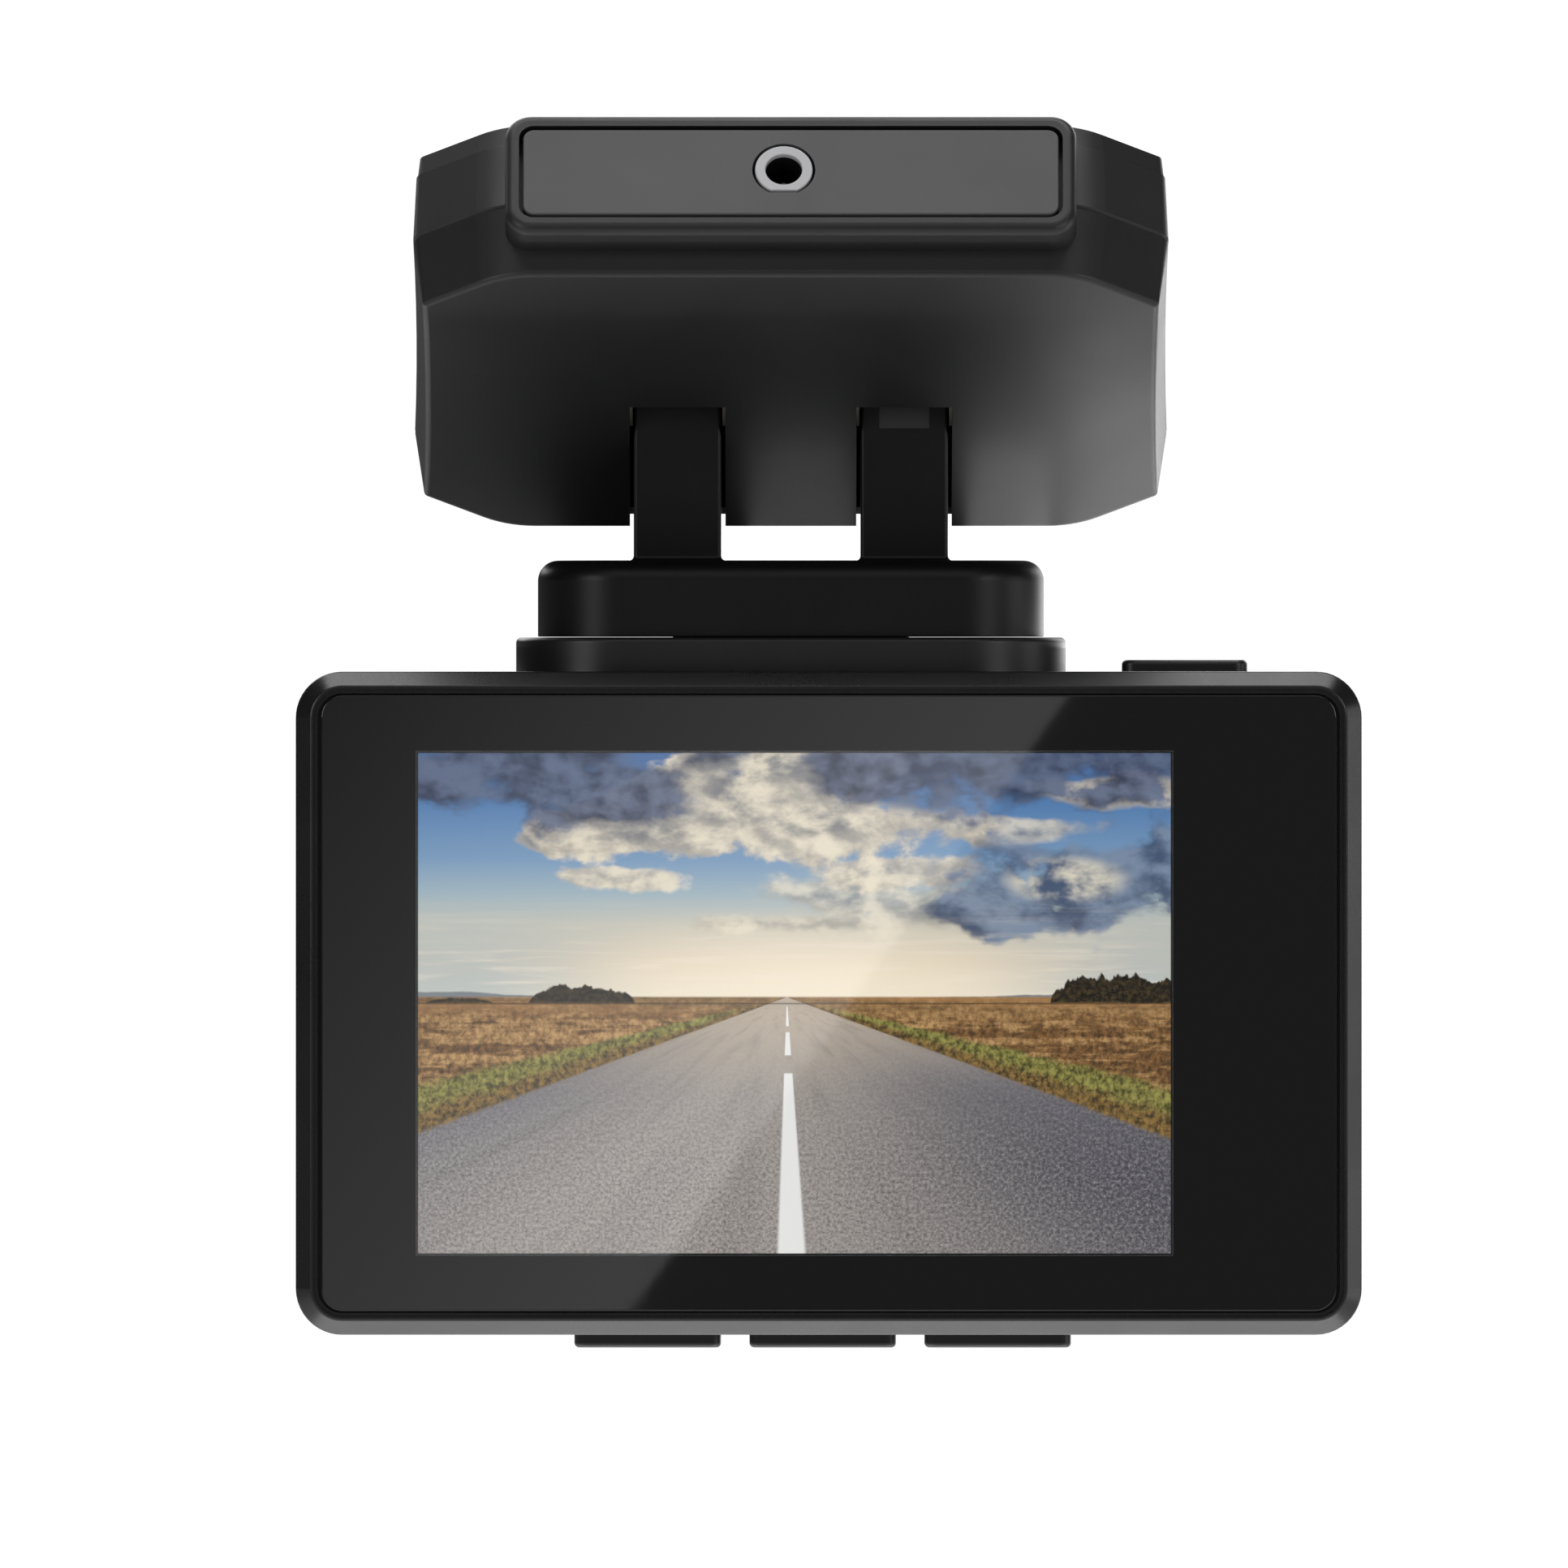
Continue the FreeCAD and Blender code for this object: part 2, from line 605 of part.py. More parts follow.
def arm_blank(arm_x):
    """One arm with a round knuckle, its long edges softened."""
    span = (arm_x - ARM_WIDTH / 2, arm_x + ARM_WIDTH / 2)
    arm = block(span, (-ARM_RADIUS, ARM_RADIUS), (BASE_TOP - 0.5, 0))
    arm = arm.fuse(rod("x", ARM_RADIUS, *span, (0, 0))).removeSplitter()
    return soften(arm, ARM_EDGE, lambda e: side_edge(e) and any(lies_at(e, "x", end) for end in span))


def side_edge(edge):
    """An edge round the arm's outline, but not the one buried in the base."""
    return edge.BoundBox.ZMax > BASE_TOP


def shoe_blank():
    x = (ARM_SPACING - SHOE_WIDTH / 2, ARM_SPACING + SHOE_WIDTH / 2)
    return block(x, (-ARM_RADIUS - 1, 0), (SHOE_BOTTOM, SHOE_TOP))


def friction_shoe():
    """The pad let into the right arm's knuckle, which grips the hinge pin."""
    body = shoe_blank().common(arm_blank(ARM_SPACING))
    return body.cut(rod("x", PIN_RADIUS + RUNNING_GAP, 0, BASE_WIDTH))


def bracket_arms():
    """Two arms on a rounded base, one moulding."""
    base = plate("z", BASE_WIDTH, BASE_DEPTH, BASE_RADIUS, BASE_BOTTOM, BASE_TOP)
    base = soften(base, BASE_EDGE, lambda e: lies_at(e, "z", BASE_TOP))
    for arm_x in mirrored_pair(ARM_SPACING):
        base = base.fuse(arm_blank(arm_x))
    base = base.removeSplitter()
    feet = [e for e in base.Edges if lies_at(e, "z", BASE_TOP) and abs(e.CenterOfMass.y) <= ARM_RADIUS + 0.01]
    feet = [e for e in feet if abs(abs(e.CenterOfMass.x) - ARM_SPACING) <= ARM_WIDTH / 2 + 0.01]
    base = base.makeFillet(0.45, feet)
    inner_w, inner_d = BASE_WIDTH - 2 * BASE_WALL, BASE_DEPTH - 2 * BASE_WALL
    cavity = plate("z", inner_w, inner_d, BASE_RADIUS - BASE_WALL, BASE_BOTTOM - 1, BASE_TOP - BASE_WALL)
    base = base.cut(cavity)
    for centre in bracket_screw_places():
        base = base.fuse(rod("z", 1.8, COVER_TOP, BASE_TOP - BASE_WALL + 0.3, centre))
        base = base.cut(rod("z", SCREW_RADIUS, COVER_TOP - 1, BASE_TOP - 1.0, centre))
    base = base.cut(rod("x", PIN_RADIUS + RUNNING_GAP, -BASE_WIDTH, BASE_WIDTH)).cut(shoe_blank())
    slot = block(
        (-ARM_SPACING - FLEX_WIDTH / 2 - 0.2, -ARM_SPACING + FLEX_WIDTH / 2 + 0.2),
        (FLEX_Y - 0.3, FLEX_Y + 0.3),
        (BASE_TOP - BASE_WALL - 1, ARM_RADIUS + 1),
    )
    return base.cut(slot).removeSplitter()


def arm_flex():
    """The flat cable up the left arm, from the contact board to the knuckle."""
    half = FLEX_THICKNESS / 2
    rise = math.sqrt(ARM_RADIUS**2 - (abs(FLEX_Y) + half) ** 2)
    return block(
        (-ARM_SPACING - FLEX_WIDTH / 2, -ARM_SPACING + FLEX_WIDTH / 2),
        (FLEX_Y - half, FLEX_Y + half),
        (BRACKET_BOARD_TOP, rise - 0.2),
    )


def bracket_cover():
    gap = 0.2
    width = BASE_WIDTH - 2 * BASE_WALL - gap
    depth = BASE_DEPTH - 2 * BASE_WALL - gap
    body = plate("z", width, depth, BASE_RADIUS - BASE_WALL - gap / 2, BASE_BOTTOM, COVER_TOP)
    tongue = plate("z", TONGUE_WIDTH, TONGUE_DEPTH, 2.0, TONGUE_BOTTOM, BASE_BOTTOM + 0.5)
    tongue = soften(tongue, 0.4, lambda e: lies_at(e, "z", TONGUE_BOTTOM))
    body = body.fuse(tongue)
    body = body.cut(plate("z", 15.2, 4.8, 0.6, TONGUE_BOTTOM - 1, COVER_TOP + 1))
    for centre in bracket_screw_places():
        body = body.cut(rod("z", SCREW_HEAD_RADIUS + 0.1, BASE_BOTTOM - 1, COVER_TOP - 0.5, centre))
        body = body.cut(rod("z", SCREW_RADIUS + 0.1, BASE_BOTTOM, COVER_TOP + 1, centre))
    return body.removeSplitter()


def bracket_screws():
    seat = COVER_TOP - 0.5
    return group([screw("z", BASE_TOP - 1.2, seat, -1, centre) for centre in bracket_screw_places()])


def magnet(x, y, low, high):
    body = block((x - MAGNET_WIDTH / 2, x + MAGNET_WIDTH / 2), (y - MAGNET_DEPTH / 2, y + MAGNET_DEPTH / 2), (low, high))
    return body.makeFillet(0.4, [e for e in body.Edges if e.BoundBox.ZLength > 0.5])


def bracket_magnets():
    low, high = COVER_TOP, COVER_TOP + 2.8
    return group([magnet(x, 0, low, high) for x in mirrored_pair(BRACKET_MAGNET_X)])


def bracket_board():
    return block((-10.6, 10.6), (-7.4, 7.4), (BRACKET_BOARD_BOTTOM, BRACKET_BOARD_TOP))


def contact_places():
    middle = (CONTACT_COUNT - 1) / 2
    return [((i - middle) * CONTACT_PITCH, 0.0) for i in range(CONTACT_COUNT)]


def pogo_block():
    body = plate("z", 15.0, 4.6, 0.5, TONGUE_BOTTOM, BRACKET_BOARD_BOTTOM)
    for centre in contact_places():
        body = body.cut(rod("z", 0.5, TONGUE_BOTTOM - 1, BRACKET_BOARD_BOTTOM + 1, centre))
    return body


def pogo_pins():
    pins = []
    for centre in contact_places():
        tip = TONGUE_BOTTOM - 0.62
        barrel = rod("z", 0.5, TONGUE_BOTTOM + 0.3, BRACKET_BOARD_BOTTOM, centre)
        plunger = rod("z", 0.38, tip + 0.2, TONGUE_BOTTOM + 0.3, centre)
        pins.append(join([barrel, plunger, cone("z", 0.18, 0.38, tip, tip + 0.2, centre)]))
    return group(pins)


# ---------------------------------------------------------------- unit: dock on top of the case
DOCK_BOARD_TOP = INNER_TOP - 1.2
RECESS_FLOOR = PLINTH_TOP - RECESS_DEPTH
DOCK_SCREW_OFFSET = 10.6


def dock_screw_places():
    return [(PLINTH_X, PLINTH_Y + side * DOCK_SCREW_OFFSET) for side in (-1, 1)]


def dock_contact_places():
    return [(PLINTH_X + x, PLINTH_Y + y) for x, y in contact_places()]


def dock_plinth():
    centre = (PLINTH_X, PLINTH_Y)
    body = plate("z", PLINTH_WIDTH, PLINTH_DEPTH, PLINTH_RADIUS, CASE_TOP, PLINTH_TOP, centre)
    body = soften(body, 0.45, lambda e: lies_at(e, "z", PLINTH_TOP))
    body = body.cut(plate("z", TONGUE_WIDTH + 0.6, TONGUE_DEPTH + 0.6, 2.3, RECESS_FLOOR, PLINTH_TOP + 1, centre))
    for x in mirrored_pair(DOCK_MAGNET_X):
        pocket_x = (PLINTH_X + x - 4.1, PLINTH_X + x + 4.1)
        body = body.cut(block(pocket_x, (PLINTH_Y - 8.1, PLINTH_Y + 8.1), (CASE_TOP - 1, CASE_TOP + 1.6)))
    for place in dock_contact_places():
        body = body.cut(rod("z", 0.8, CASE_TOP - 1, PLINTH_TOP, place))
    for place in dock_screw_places():
        body = body.cut(rod("z", SCREW_RADIUS, CASE_TOP - 1, CASE_TOP + 2.2, place))
    return body


def dock_magnets():
    low, high = CASE_TOP + 0.05, CASE_TOP + 0.05 + DOCK_MAGNET_HEIGHT
    return group([magnet(PLINTH_X + x, PLINTH_Y, low, high) for x in mirrored_pair(DOCK_MAGNET_X)])


def dock_contacts():
    pads = []
    for place in dock_contact_places():
        pad = rod("z", 0.8, CASE_TOP + 0.1, RECESS_FLOOR, place)
        pads.append(pad.fuse(rod("z", 0.35, DOCK_BOARD_TOP, CASE_TOP + 0.2, place)))
    return group(pads)


def dock_board():
    x = (PLINTH_X - 11.0, PLINTH_X + 11.0)
    return block(x, (PLINTH_Y - 6.0, PLINTH_Y + 6.0), (DOCK_BOARD_TOP - 0.8, DOCK_BOARD_TOP))


# ---------------------------------------------------------------- unit: case
def case_screw_places():
    return [(x, z) for x in CASE_SCREW_X for z in CASE_SCREW_Z]


LEDGE_REAR = GLASS_SET_BACK + GLASS_THICKNESS + 0.2
LEDGE_FRONT = LEDGE_REAR + 2.2
CELL_WIDTH = 68.6
CELL_HEIGHT = 46.8


def rear_frame():
    """The rim round the glass, with the ledge that the glass and the display sit on."""
    body = plate("y", CASE_WIDTH, CASE_HEIGHT, CASE_RADIUS, 0, FRAME_DEPTH)
    body = body.makeChamfer(FRAME_BAND, [e for e in body.Edges if lies_at(e, "y", 0)])
    for depth in (0, FRAME_BAND):
        body = soften(body, FRAME_BAND_EDGE, lambda e: lies_at(e, "y", depth))
    for lip, depth in ((FRAME_LIP, FRAME_STEP), (FRAME_LIP + FRAME_STEP, LEDGE_REAR)):
        width, height = CASE_WIDTH - 2 * lip, CASE_HEIGHT - 2 * lip
        body = body.cut(plate("y", width, height, CASE_RADIUS - lip, -1, depth))
    display = plate("y", CELL_WIDTH + 0.4, CELL_HEIGHT + 0.4, 0.6, 0, LEDGE_FRONT + 1, (DISPLAY_X, 0))
    body = body.cut(display)
    inner = plate("y", 2 * INNER_SIDE, 2 * INNER_TOP, CASE_RADIUS - CASE_WALL, LEDGE_FRONT, FRAME_DEPTH + 1)
    body = body.cut(inner)
    for place in case_screw_places():
        body = body.cut(rod("y", SCREW_HEAD_RADIUS + 0.15, 0, LEDGE_REAR + SCREW_HEAD_HEIGHT + 0.1, place))
        body = body.cut(rod("y", SCREW_RADIUS + 0.1, 0, LEDGE_FRONT + 1, place))
    for place in BOARD_POSTS:
        body = body.fuse(rod("y", 1.1, LEDGE_FRONT - 1, BOARD_REAR, place))
        body = body.fuse(rod("y", 0.6, BOARD_REAR - 1, BOARD_FRONT + 0.6, place))
    return body.removeSplitter()


def rear_glass():
    back = GLASS_SET_BACK + GLASS_THICKNESS
    body = plate("y", GLASS_WIDTH, GLASS_HEIGHT, GLASS_RADIUS, GLASS_SET_BACK, back)
    return soften(body, 0.18, lambda e: lies_at(e, "y", GLASS_SET_BACK))


def glass_tape():
    """Adhesive foam between the glass and the ledge."""
    rear = GLASS_SET_BACK + GLASS_THICKNESS
    body = plate("y", GLASS_WIDTH - 0.6, GLASS_HEIGHT - 0.6, 1.6, rear, LEDGE_REAR)
    return body.cut(plate("y", CELL_WIDTH + 0.6, CELL_HEIGHT + 0.6, 0.6, rear - 1, LEDGE_REAR + 1, (DISPLAY_X, 0)))


CELL_REAR = GLASS_SET_BACK + GLASS_THICKNESS + 0.05
CELL_FRONT = CELL_REAR + 1.3


def display_cell():
    return plate("y", CELL_WIDTH, CELL_HEIGHT, 0.4, CELL_REAR, CELL_FRONT, (DISPLAY_X, 0))


def display_backlight():
    body = plate("y", CELL_WIDTH, CELL_HEIGHT, 0.4, CELL_FRONT, CELL_FRONT + 1.7, (DISPLAY_X, 0))
    rim = plate("y", CELL_WIDTH - 3, CELL_HEIGHT - 3, 0.4, CELL_FRONT + 1.5, CELL_FRONT + 3, (DISPLAY_X, 0))
    return body.cut(rim)


def case_section(depth, draw_in, wall=0.0):
    """The case's outline; its top stays level while the sides and the bottom draw in."""
    width = CASE_WIDTH - 2 * draw_in - 2 * wall
    height = CASE_HEIGHT - draw_in - 2 * wall
    return outline("y", width, height, CASE_RADIUS - wall, depth, (0, draw_in / 2))


def key_hole(name):
    """The opening in the case for one key."""
    x, width, side, _ = KEYS[name]
    low, high = sorted((side * (INNER_TOP - 1), side * (CASE_TOP + 1)))
    return plate("z", width + 2 * KEY_GAP, KEY_DEPTH + 2 * KEY_GAP, 1.2, low, high, (x, KEY_Y))


def case_openings():
    """Everything cut through the front shell: keys, dock, ports, vents and the speaker's slots."""
    cuts = [key_hole(name) for name in KEYS]
    cuts += [rod("z", 0.5, INNER_TOP - 1, CASE_TOP + 1, place) for place in dock_contact_places()]
    cuts += [rod("z", SCREW_RADIUS + 0.1, INNER_TOP - 1, CASE_TOP + 1, place) for place in dock_screw_places()]
    left, right = -CASE_SIDE - 1, CASE_SIDE + 1
    card_slot = plate("x", CARD_THICKNESS + 0.8, CARD_WIDTH + 0.8, 0.4, left, left + 5, (CARD_Y, CARD_Z))
    usb_mouth = plate("x", 3.5, 9.3, 1.7, right - 5, right, (BOARD_FRONT + 1.65, USB_Z))
    jack_mouth = rod("x", 2.65, right - 5, right, (AV_Y, AV_Z))
    cuts += [card_slot, usb_mouth, jack_mouth]
    cuts += [plate("z", 1.2, 13.0, 0.55, INNER_TOP - 1, CASE_TOP + 1, (x, 21.0)) for x in vent_places()]
    for i in range(7):
        place = (SPEAKER_X - 7.5 + 2.5 * i, SPEAKER_Y)
        cuts.append(plate("z", 1.1, speaker_slot(place[0]), 0.5, -CASE_TOP - 2, -INNER_TOP + 3, place))
    for i in range(6):
        cuts.append(plate("x", 1.2, 9.0, 0.55, CASE_SIDE - 5, CASE_SIDE + 1, (17.0 + 2.4 * i, -12.0)))
    return cuts


def vent_places():
    return [-40.0 + 2.5 * i for i in range(5)]


SPEAKER_X = -22.0
SPEAKER_Y = 23.6
SPEAKER_RADIUS = 7.5


def speaker_slot(x):
    """A slot's length, so that the slots together fill a circle."""
    return 2 * math.sqrt((SPEAKER_RADIUS + 1.2) ** 2 - (x - SPEAKER_X) ** 2) - 3.0


def front_shell():
    body = loft([case_section(FRAME_DEPTH, 0), case_section(TAPER_START, 0), case_section(CASE_DEPTH, TAPER)])
    body = soften(body, FRONT_EDGE, lambda e: lies_at(e, "y", CASE_DEPTH))
    turret = cone("y", TURRET_RADIUS, TURRET_RADIUS - 1.0, FRONT_WALL, TURRET_FRONT, (CAMERA_X, CAMERA_Z))
    turret = soften(turret, 0.8, lambda e: lies_at(e, "y", TURRET_FRONT))
    body = body.fuse(turret)
    body = body.cut(case_cavity())
    body = body.cut(rod("y", LENS_RING_RADIUS + 0.1, FRONT_WALL - 1, TURRET_FRONT + 1, (CAMERA_X, CAMERA_Z)))
    window = (WINDOW_X, WINDOW_Z)
    sill = CASE_DEPTH - WINDOW_DEPTH
    body = body.cut(plate("y", WINDOW_WIDTH + 0.4, WINDOW_HEIGHT + 0.4, WINDOW_RADIUS, sill, CASE_DEPTH + 1, window))
    body = body.cut(rod("y", LASER_RADIUS + 0.2, FRONT_WALL - 1, CASE_DEPTH + 1, (LASER_X, LASER_Z)))
    for place in case_screw_places():
        body = body.fuse(rod("y", 2.3, LEDGE_FRONT, FRONT_WALL - 4, place).common(boss_envelope()))
        body = body.cut(rod("y", SCREW_RADIUS, LEDGE_FRONT - 1, 16.0, place))
    return cut_all(body, case_openings()).removeSplitter()


def case_cavity():
    return loft(
        [
            case_section(FRAME_DEPTH - 1, 0, CASE_WALL),
            case_section(TAPER_START, 0, CASE_WALL),
            case_section(FRONT_WALL, TAPER, CASE_WALL),
        ]
    )


def boss_envelope():
    """The inside of the case, which the screw bosses stay in."""
    return loft(
        [
            case_section(0, 0.1, CASE_WALL),
            case_section(FRAME_DEPTH, 0.1, CASE_WALL),
            case_section(FRAME_DEPTH + 0.1, 0, CASE_WALL - 0.3),
            case_section(TAPER_START, 0, CASE_WALL - 0.3),
            case_section(CASE_DEPTH - 0.5, TAPER, CASE_WALL - 0.3),
        ]
    )


def case_screws():
    """Four through the frame into the front shell, and two up through its roof into the plinth."""
    seat = LEDGE_REAR + SCREW_HEAD_HEIGHT + 0.1
    screws = [screw("y", 14.0, seat, -1, place) for place in case_screw_places()]
    screws += [screw("z", CASE_TOP + 2.0, INNER_TOP, -1, place) for place in dock_screw_places()]
    return group(screws)


# ---------------------------------------------------------------- unit: electronics
def main_board():
    """The board, notched round the case's left bosses and staked on the frame's posts."""
    x = (BOARD_LEFT, BOARD_RIGHT)
    body = block(x, (BOARD_REAR, BOARD_FRONT), (-BOARD_HALF_HEIGHT, BOARD_HALF_HEIGHT))
    for side in (-1, 1):
        low, high = sorted((side * 20.6, side * (BOARD_HALF_HEIGHT + 1)))
        body = body.cut(block((BOARD_LEFT - 1, BOARD_LEFT + 2.2), (BOARD_REAR - 1, BOARD_FRONT + 1), (low, high)))
    return cut_all(body, [rod("y", 0.7, BOARD_REAR - 1, BOARD_FRONT + 1, place) for place in BOARD_POSTS])


def board_spacers():
    """Hexagon posts that carry the radar board and the camera board."""
    radar = [(-38.5, -9.0), (-13.5, -9.0), (-25.5, 9.5), (-13.9, 7.5)]
    camera = [(CAMERA_X + a, CAMERA_Z + b) for a in (-9.2, 9.2) for b in (-9.2, 9.2)]
    posts = []
    for centre in radar + camera:
        corners = []
        for i in range(7):
            angle = math.radians(60 * i)
            corners.append(point("y", centre[0] + 1.5 * math.cos(angle), centre[1] + 1.5 * math.sin(angle), BOARD_FRONT))
        post = Part.Face(Part.makePolygon(corners)).extrude(Vector(0, UPPER_BOARD_REAR - BOARD_FRONT, 0))
        posts.append(post)
    return group(posts)


def on_board(x, z, height):
    return block(x, (BOARD_FRONT, BOARD_FRONT + height), z)


def board_chips():
    """Image memory, radar controller, power inductors, the display's connector and the microphone."""
    chips = [
        on_board((-12.0, -3.0), (9.0, 20.0), 1.1),
        on_board((-24.0, -15.0), (12.0, 21.0), 1.1),
        on_board((22.0, 27.0), (-20.0, -15.0), 2.4),
        on_board((28.5, 33.5), (-20.0, -15.0), 2.4),
        on_board((-26.0, -18.0), (-16.0, -8.0), 1.2),
        block((-10.0, 6.0), (BOARD_REAR - 1.4, BOARD_REAR), (-22.5, -18.5)),
        rod("y", 2.0, BOARD_FRONT, BOARD_FRONT + 1.4, (32.0, 18.0)),
    ]
    return group(chips)


def processor_heatsink():
    """A finned sink on the image processor."""
    x, z = (-10.0, 10.0), (-10.5, 6.0)
    body = on_board((x[0] + 3, x[1] - 3), (z[0] + 3, z[1] - 3), 0.9)
    body = body.fuse(block(x, (BOARD_FRONT + 0.9, BOARD_FRONT + 1.9), z))
    for i in range(8):
        low = x[0] + i * 2.7
        body = body.fuse(block((low, low + 1.1), (BOARD_FRONT + 1.9, BOARD_FRONT + 4.2), z))
    return body.removeSplitter()


def supercapacitors():
    """Two cells that keep the recorder alive while it saves its last clip."""
    cells = []
    for y in (BOARD_FRONT + 4.0, BOARD_FRONT + 12.1):
        cell = rod("x", 4.0, -12.5, 7.5, (y, -15.6))
        cell = soften(cell, 0.5, lambda e: lies_at(e, "x", -12.5) or lies_at(e, "x", 7.5))
        cells.append(cell)
    return group(cells)


HORN_REAR = UPPER_BOARD_REAR + UPPER_BOARD_THICKNESS
HORN_FRONT = FRONT_WALL - 0.3


def horn_antenna():
    """A cast horn: a flared mouth towards the road and a narrow throat on the radar board."""
    half_w, half_h = HORN_WIDTH / 2, HORN_HEIGHT / 2
    z = WINDOW_Z
    body = block((HORN_X - half_w, HORN_X + half_w), (HORN_REAR, HORN_FRONT), (z - half_h, z + half_h))
    centre = (HORN_X, z)
    flare = loft(
        [
            outline("y", 8.0, 4.0, 0.3, HORN_REAR + 4, centre),
            outline("y", HORN_WIDTH - 2.4, HORN_HEIGHT - 2.4, 0.6, HORN_FRONT + 0.01, centre),
        ]
    )
    throat = plate("y", 8.0, 4.0, 0.3, HORN_REAR - 1, HORN_REAR + 5, centre)
    body = body.cut(flare).cut(throat)
    for side in (-1, 1):
        low, high = sorted((side * half_h, side * (half_h + 1.2)))
        rib_z = (z + low, z + high)
        for i in range(3):
            y = HORN_REAR + 2 + 5.0 * i
            body = body.fuse(block((HORN_X - half_w, HORN_X + half_w), (y, y + 1.2), rib_z))
    return body.removeSplitter()


def radar_board():
    x = (HORN_X - 12.0, LASER_X + 6.0)
    return block(x, (UPPER_BOARD_REAR, HORN_REAR), (WINDOW_Z - 12.0, WINDOW_Z + 12.0))


def laser_receiver():
    """The tube and sensor behind the laser lens."""
    centre = (LASER_X, LASER_Z)
    front = FRONT_WALL - 0.3
    tube = rod("y", 5.2, 20.0, front, centre).cut(cone("y", 2.2, 4.7, 22.0, front + 0.01, centre))
    return tube.fuse(rod("y", 3.6, HORN_REAR, 20.5, centre)).removeSplitter()


def speaker():
    """The speaker on its foam ring, which follows the slope of the case's floor."""
    centre = (SPEAKER_X, SPEAKER_Y)
    low = -INNER_TOP + 2.0
    body = rod("z", SPEAKER_RADIUS, low, low + 1.6, centre)
    body = body.fuse(rod("z", 4.2, low + 1.6, low + 4.0, centre))
    ring = rod("z", SPEAKER_RADIUS, -CASE_TOP, low, centre).cut(rod("z", 6.4, -CASE_TOP - 1, low + 1, centre))
    return body.fuse(ring.common(case_cavity())).removeSplitter()


def key_switches():
    """One side-press switch behind each key: a body on the board and a plunger towards the key."""
    switches = []
    for x, _, side, _ in KEYS.values():
        low, high = sorted((side * 20.0, side * 23.2))
        body = block((x - 3.0, x + 3.0), (BOARD_FRONT, BOARD_FRONT + 3.4), (low, high))
        flange_inner = INNER_TOP - KEY_GAP / 2 - KEY_FLANGE
        low, high = sorted((side * 23.2, side * (flange_inner - KEY_TRAVEL - 0.15)))
        plunger = block((x - 1.3, x + 1.3), (KEY_Y - 0.8, KEY_Y + 0.8), (low, high))
        switches.append(body.fuse(plunger))
    return group(switches)


def usb_socket():
    y = BOARD_FRONT + 1.65
    shell = plate("x", 3.2, 9.0, 1.55, 36.0, CASE_SIDE - 0.4, (y, USB_Z))
    shell = shell.cut(plate("x", 2.5, 8.3, 1.2, 37.0, CASE_SIDE + 1, (y, USB_Z)))
    tongue = plate("x", 0.7, 6.7, 0.2, 37.0, CASE_SIDE - 1.6, (y, USB_Z))
    foot = block((34.0, 36.5), (BOARD_FRONT, BOARD_FRONT + 2.0), (USB_Z - 4.0, USB_Z + 4.0))
    return join([shell, tongue, foot])


def rear_camera_socket():
    """The round jack for a second camera's lead."""
    centre = (AV_Y, AV_Z)
    nose = rod("x", 2.5, CASE_SIDE - 4.5, CASE_SIDE - 0.1, centre)
    body = block((33.0, CASE_SIDE - 2.2), (BOARD_FRONT, BOARD_FRONT + 6.0), (AV_Z - 3.0, AV_Z + 3.0))
    whole = body.fuse(nose).removeSplitter()
    return whole.cut(rod("x", AV_RADIUS, CASE_SIDE - 0.1 - AV_DEPTH, CASE_SIDE + 1, centre))


CARD_OUTER = -CASE_SIDE + 0.4
CARD_PUSH = 0.8


def card_socket():
    half = CARD_WIDTH / 2 + 1.4
    x = (-INNER_SIDE + 0.2, CARD_OUTER + CARD_LENGTH + 2.2)
    body = block(x, (BOARD_FRONT, BOARD_FRONT + 2.2), (CARD_Z - half, CARD_Z + half))
    room_y = (CARD_Y - CARD_THICKNESS / 2 - 0.1, CARD_Y + CARD_THICKNESS / 2 + 0.1)
    room_z = (CARD_Z - CARD_WIDTH / 2 - 0.1, CARD_Z + CARD_WIDTH / 2 + 0.1)
    body = body.cut(block((x[0] - 1, CARD_OUTER + CARD_LENGTH + CARD_PUSH + 0.1), room_y, room_z))
    board_edge = block((x[0] - 1, BOARD_LEFT), (0, BOARD_FRONT + 0.2), (CARD_Z - half, CARD_Z + half))
    return body.cut(board_edge)


def memory_card():
    y = (CARD_Y - CARD_THICKNESS / 2, CARD_Y + CARD_THICKNESS / 2)
    z = (CARD_Z - CARD_WIDTH / 2, CARD_Z + CARD_WIDTH / 2)
    body = block((CARD_OUTER, CARD_OUTER + CARD_LENGTH), y, z)
    lip = block((CARD_OUTER, CARD_OUTER + 1.0), (y[0], y[0] + 0.3), (z[0] + 1, z[1] - 1))
    return body.cut(lip)


# ---------------------------------------------------------------- unit: camera, window and laser
def lens_ring():
    """The bezel round the lens: a lip over the turret and a stepped funnel inside."""
    lip_front = TURRET_FRONT + 1.6
    profile = [
        (LENS_RING_LIP, TURRET_FRONT),
        (LENS_RING_LIP, lip_front - 0.5),
        (LENS_RING_LIP - 0.5, lip_front),
        (LENS_RING_LIP - 1.6, lip_front),
        (LENS_BARREL_RADIUS + 3.4, 37.6),
        (LENS_BARREL_RADIUS + 2.6, 37.6),
        (LENS_BARREL_RADIUS + 1.8, 36.4),
        (LENS_BARREL_RADIUS + 0.15, 36.4),
        (LENS_BARREL_RADIUS + 0.15, 33.4),
        (LENS_RING_RADIUS, 33.4),
        (LENS_RING_RADIUS, TURRET_FRONT),
    ]
    return turned(profile, (CAMERA_X, CAMERA_Z))


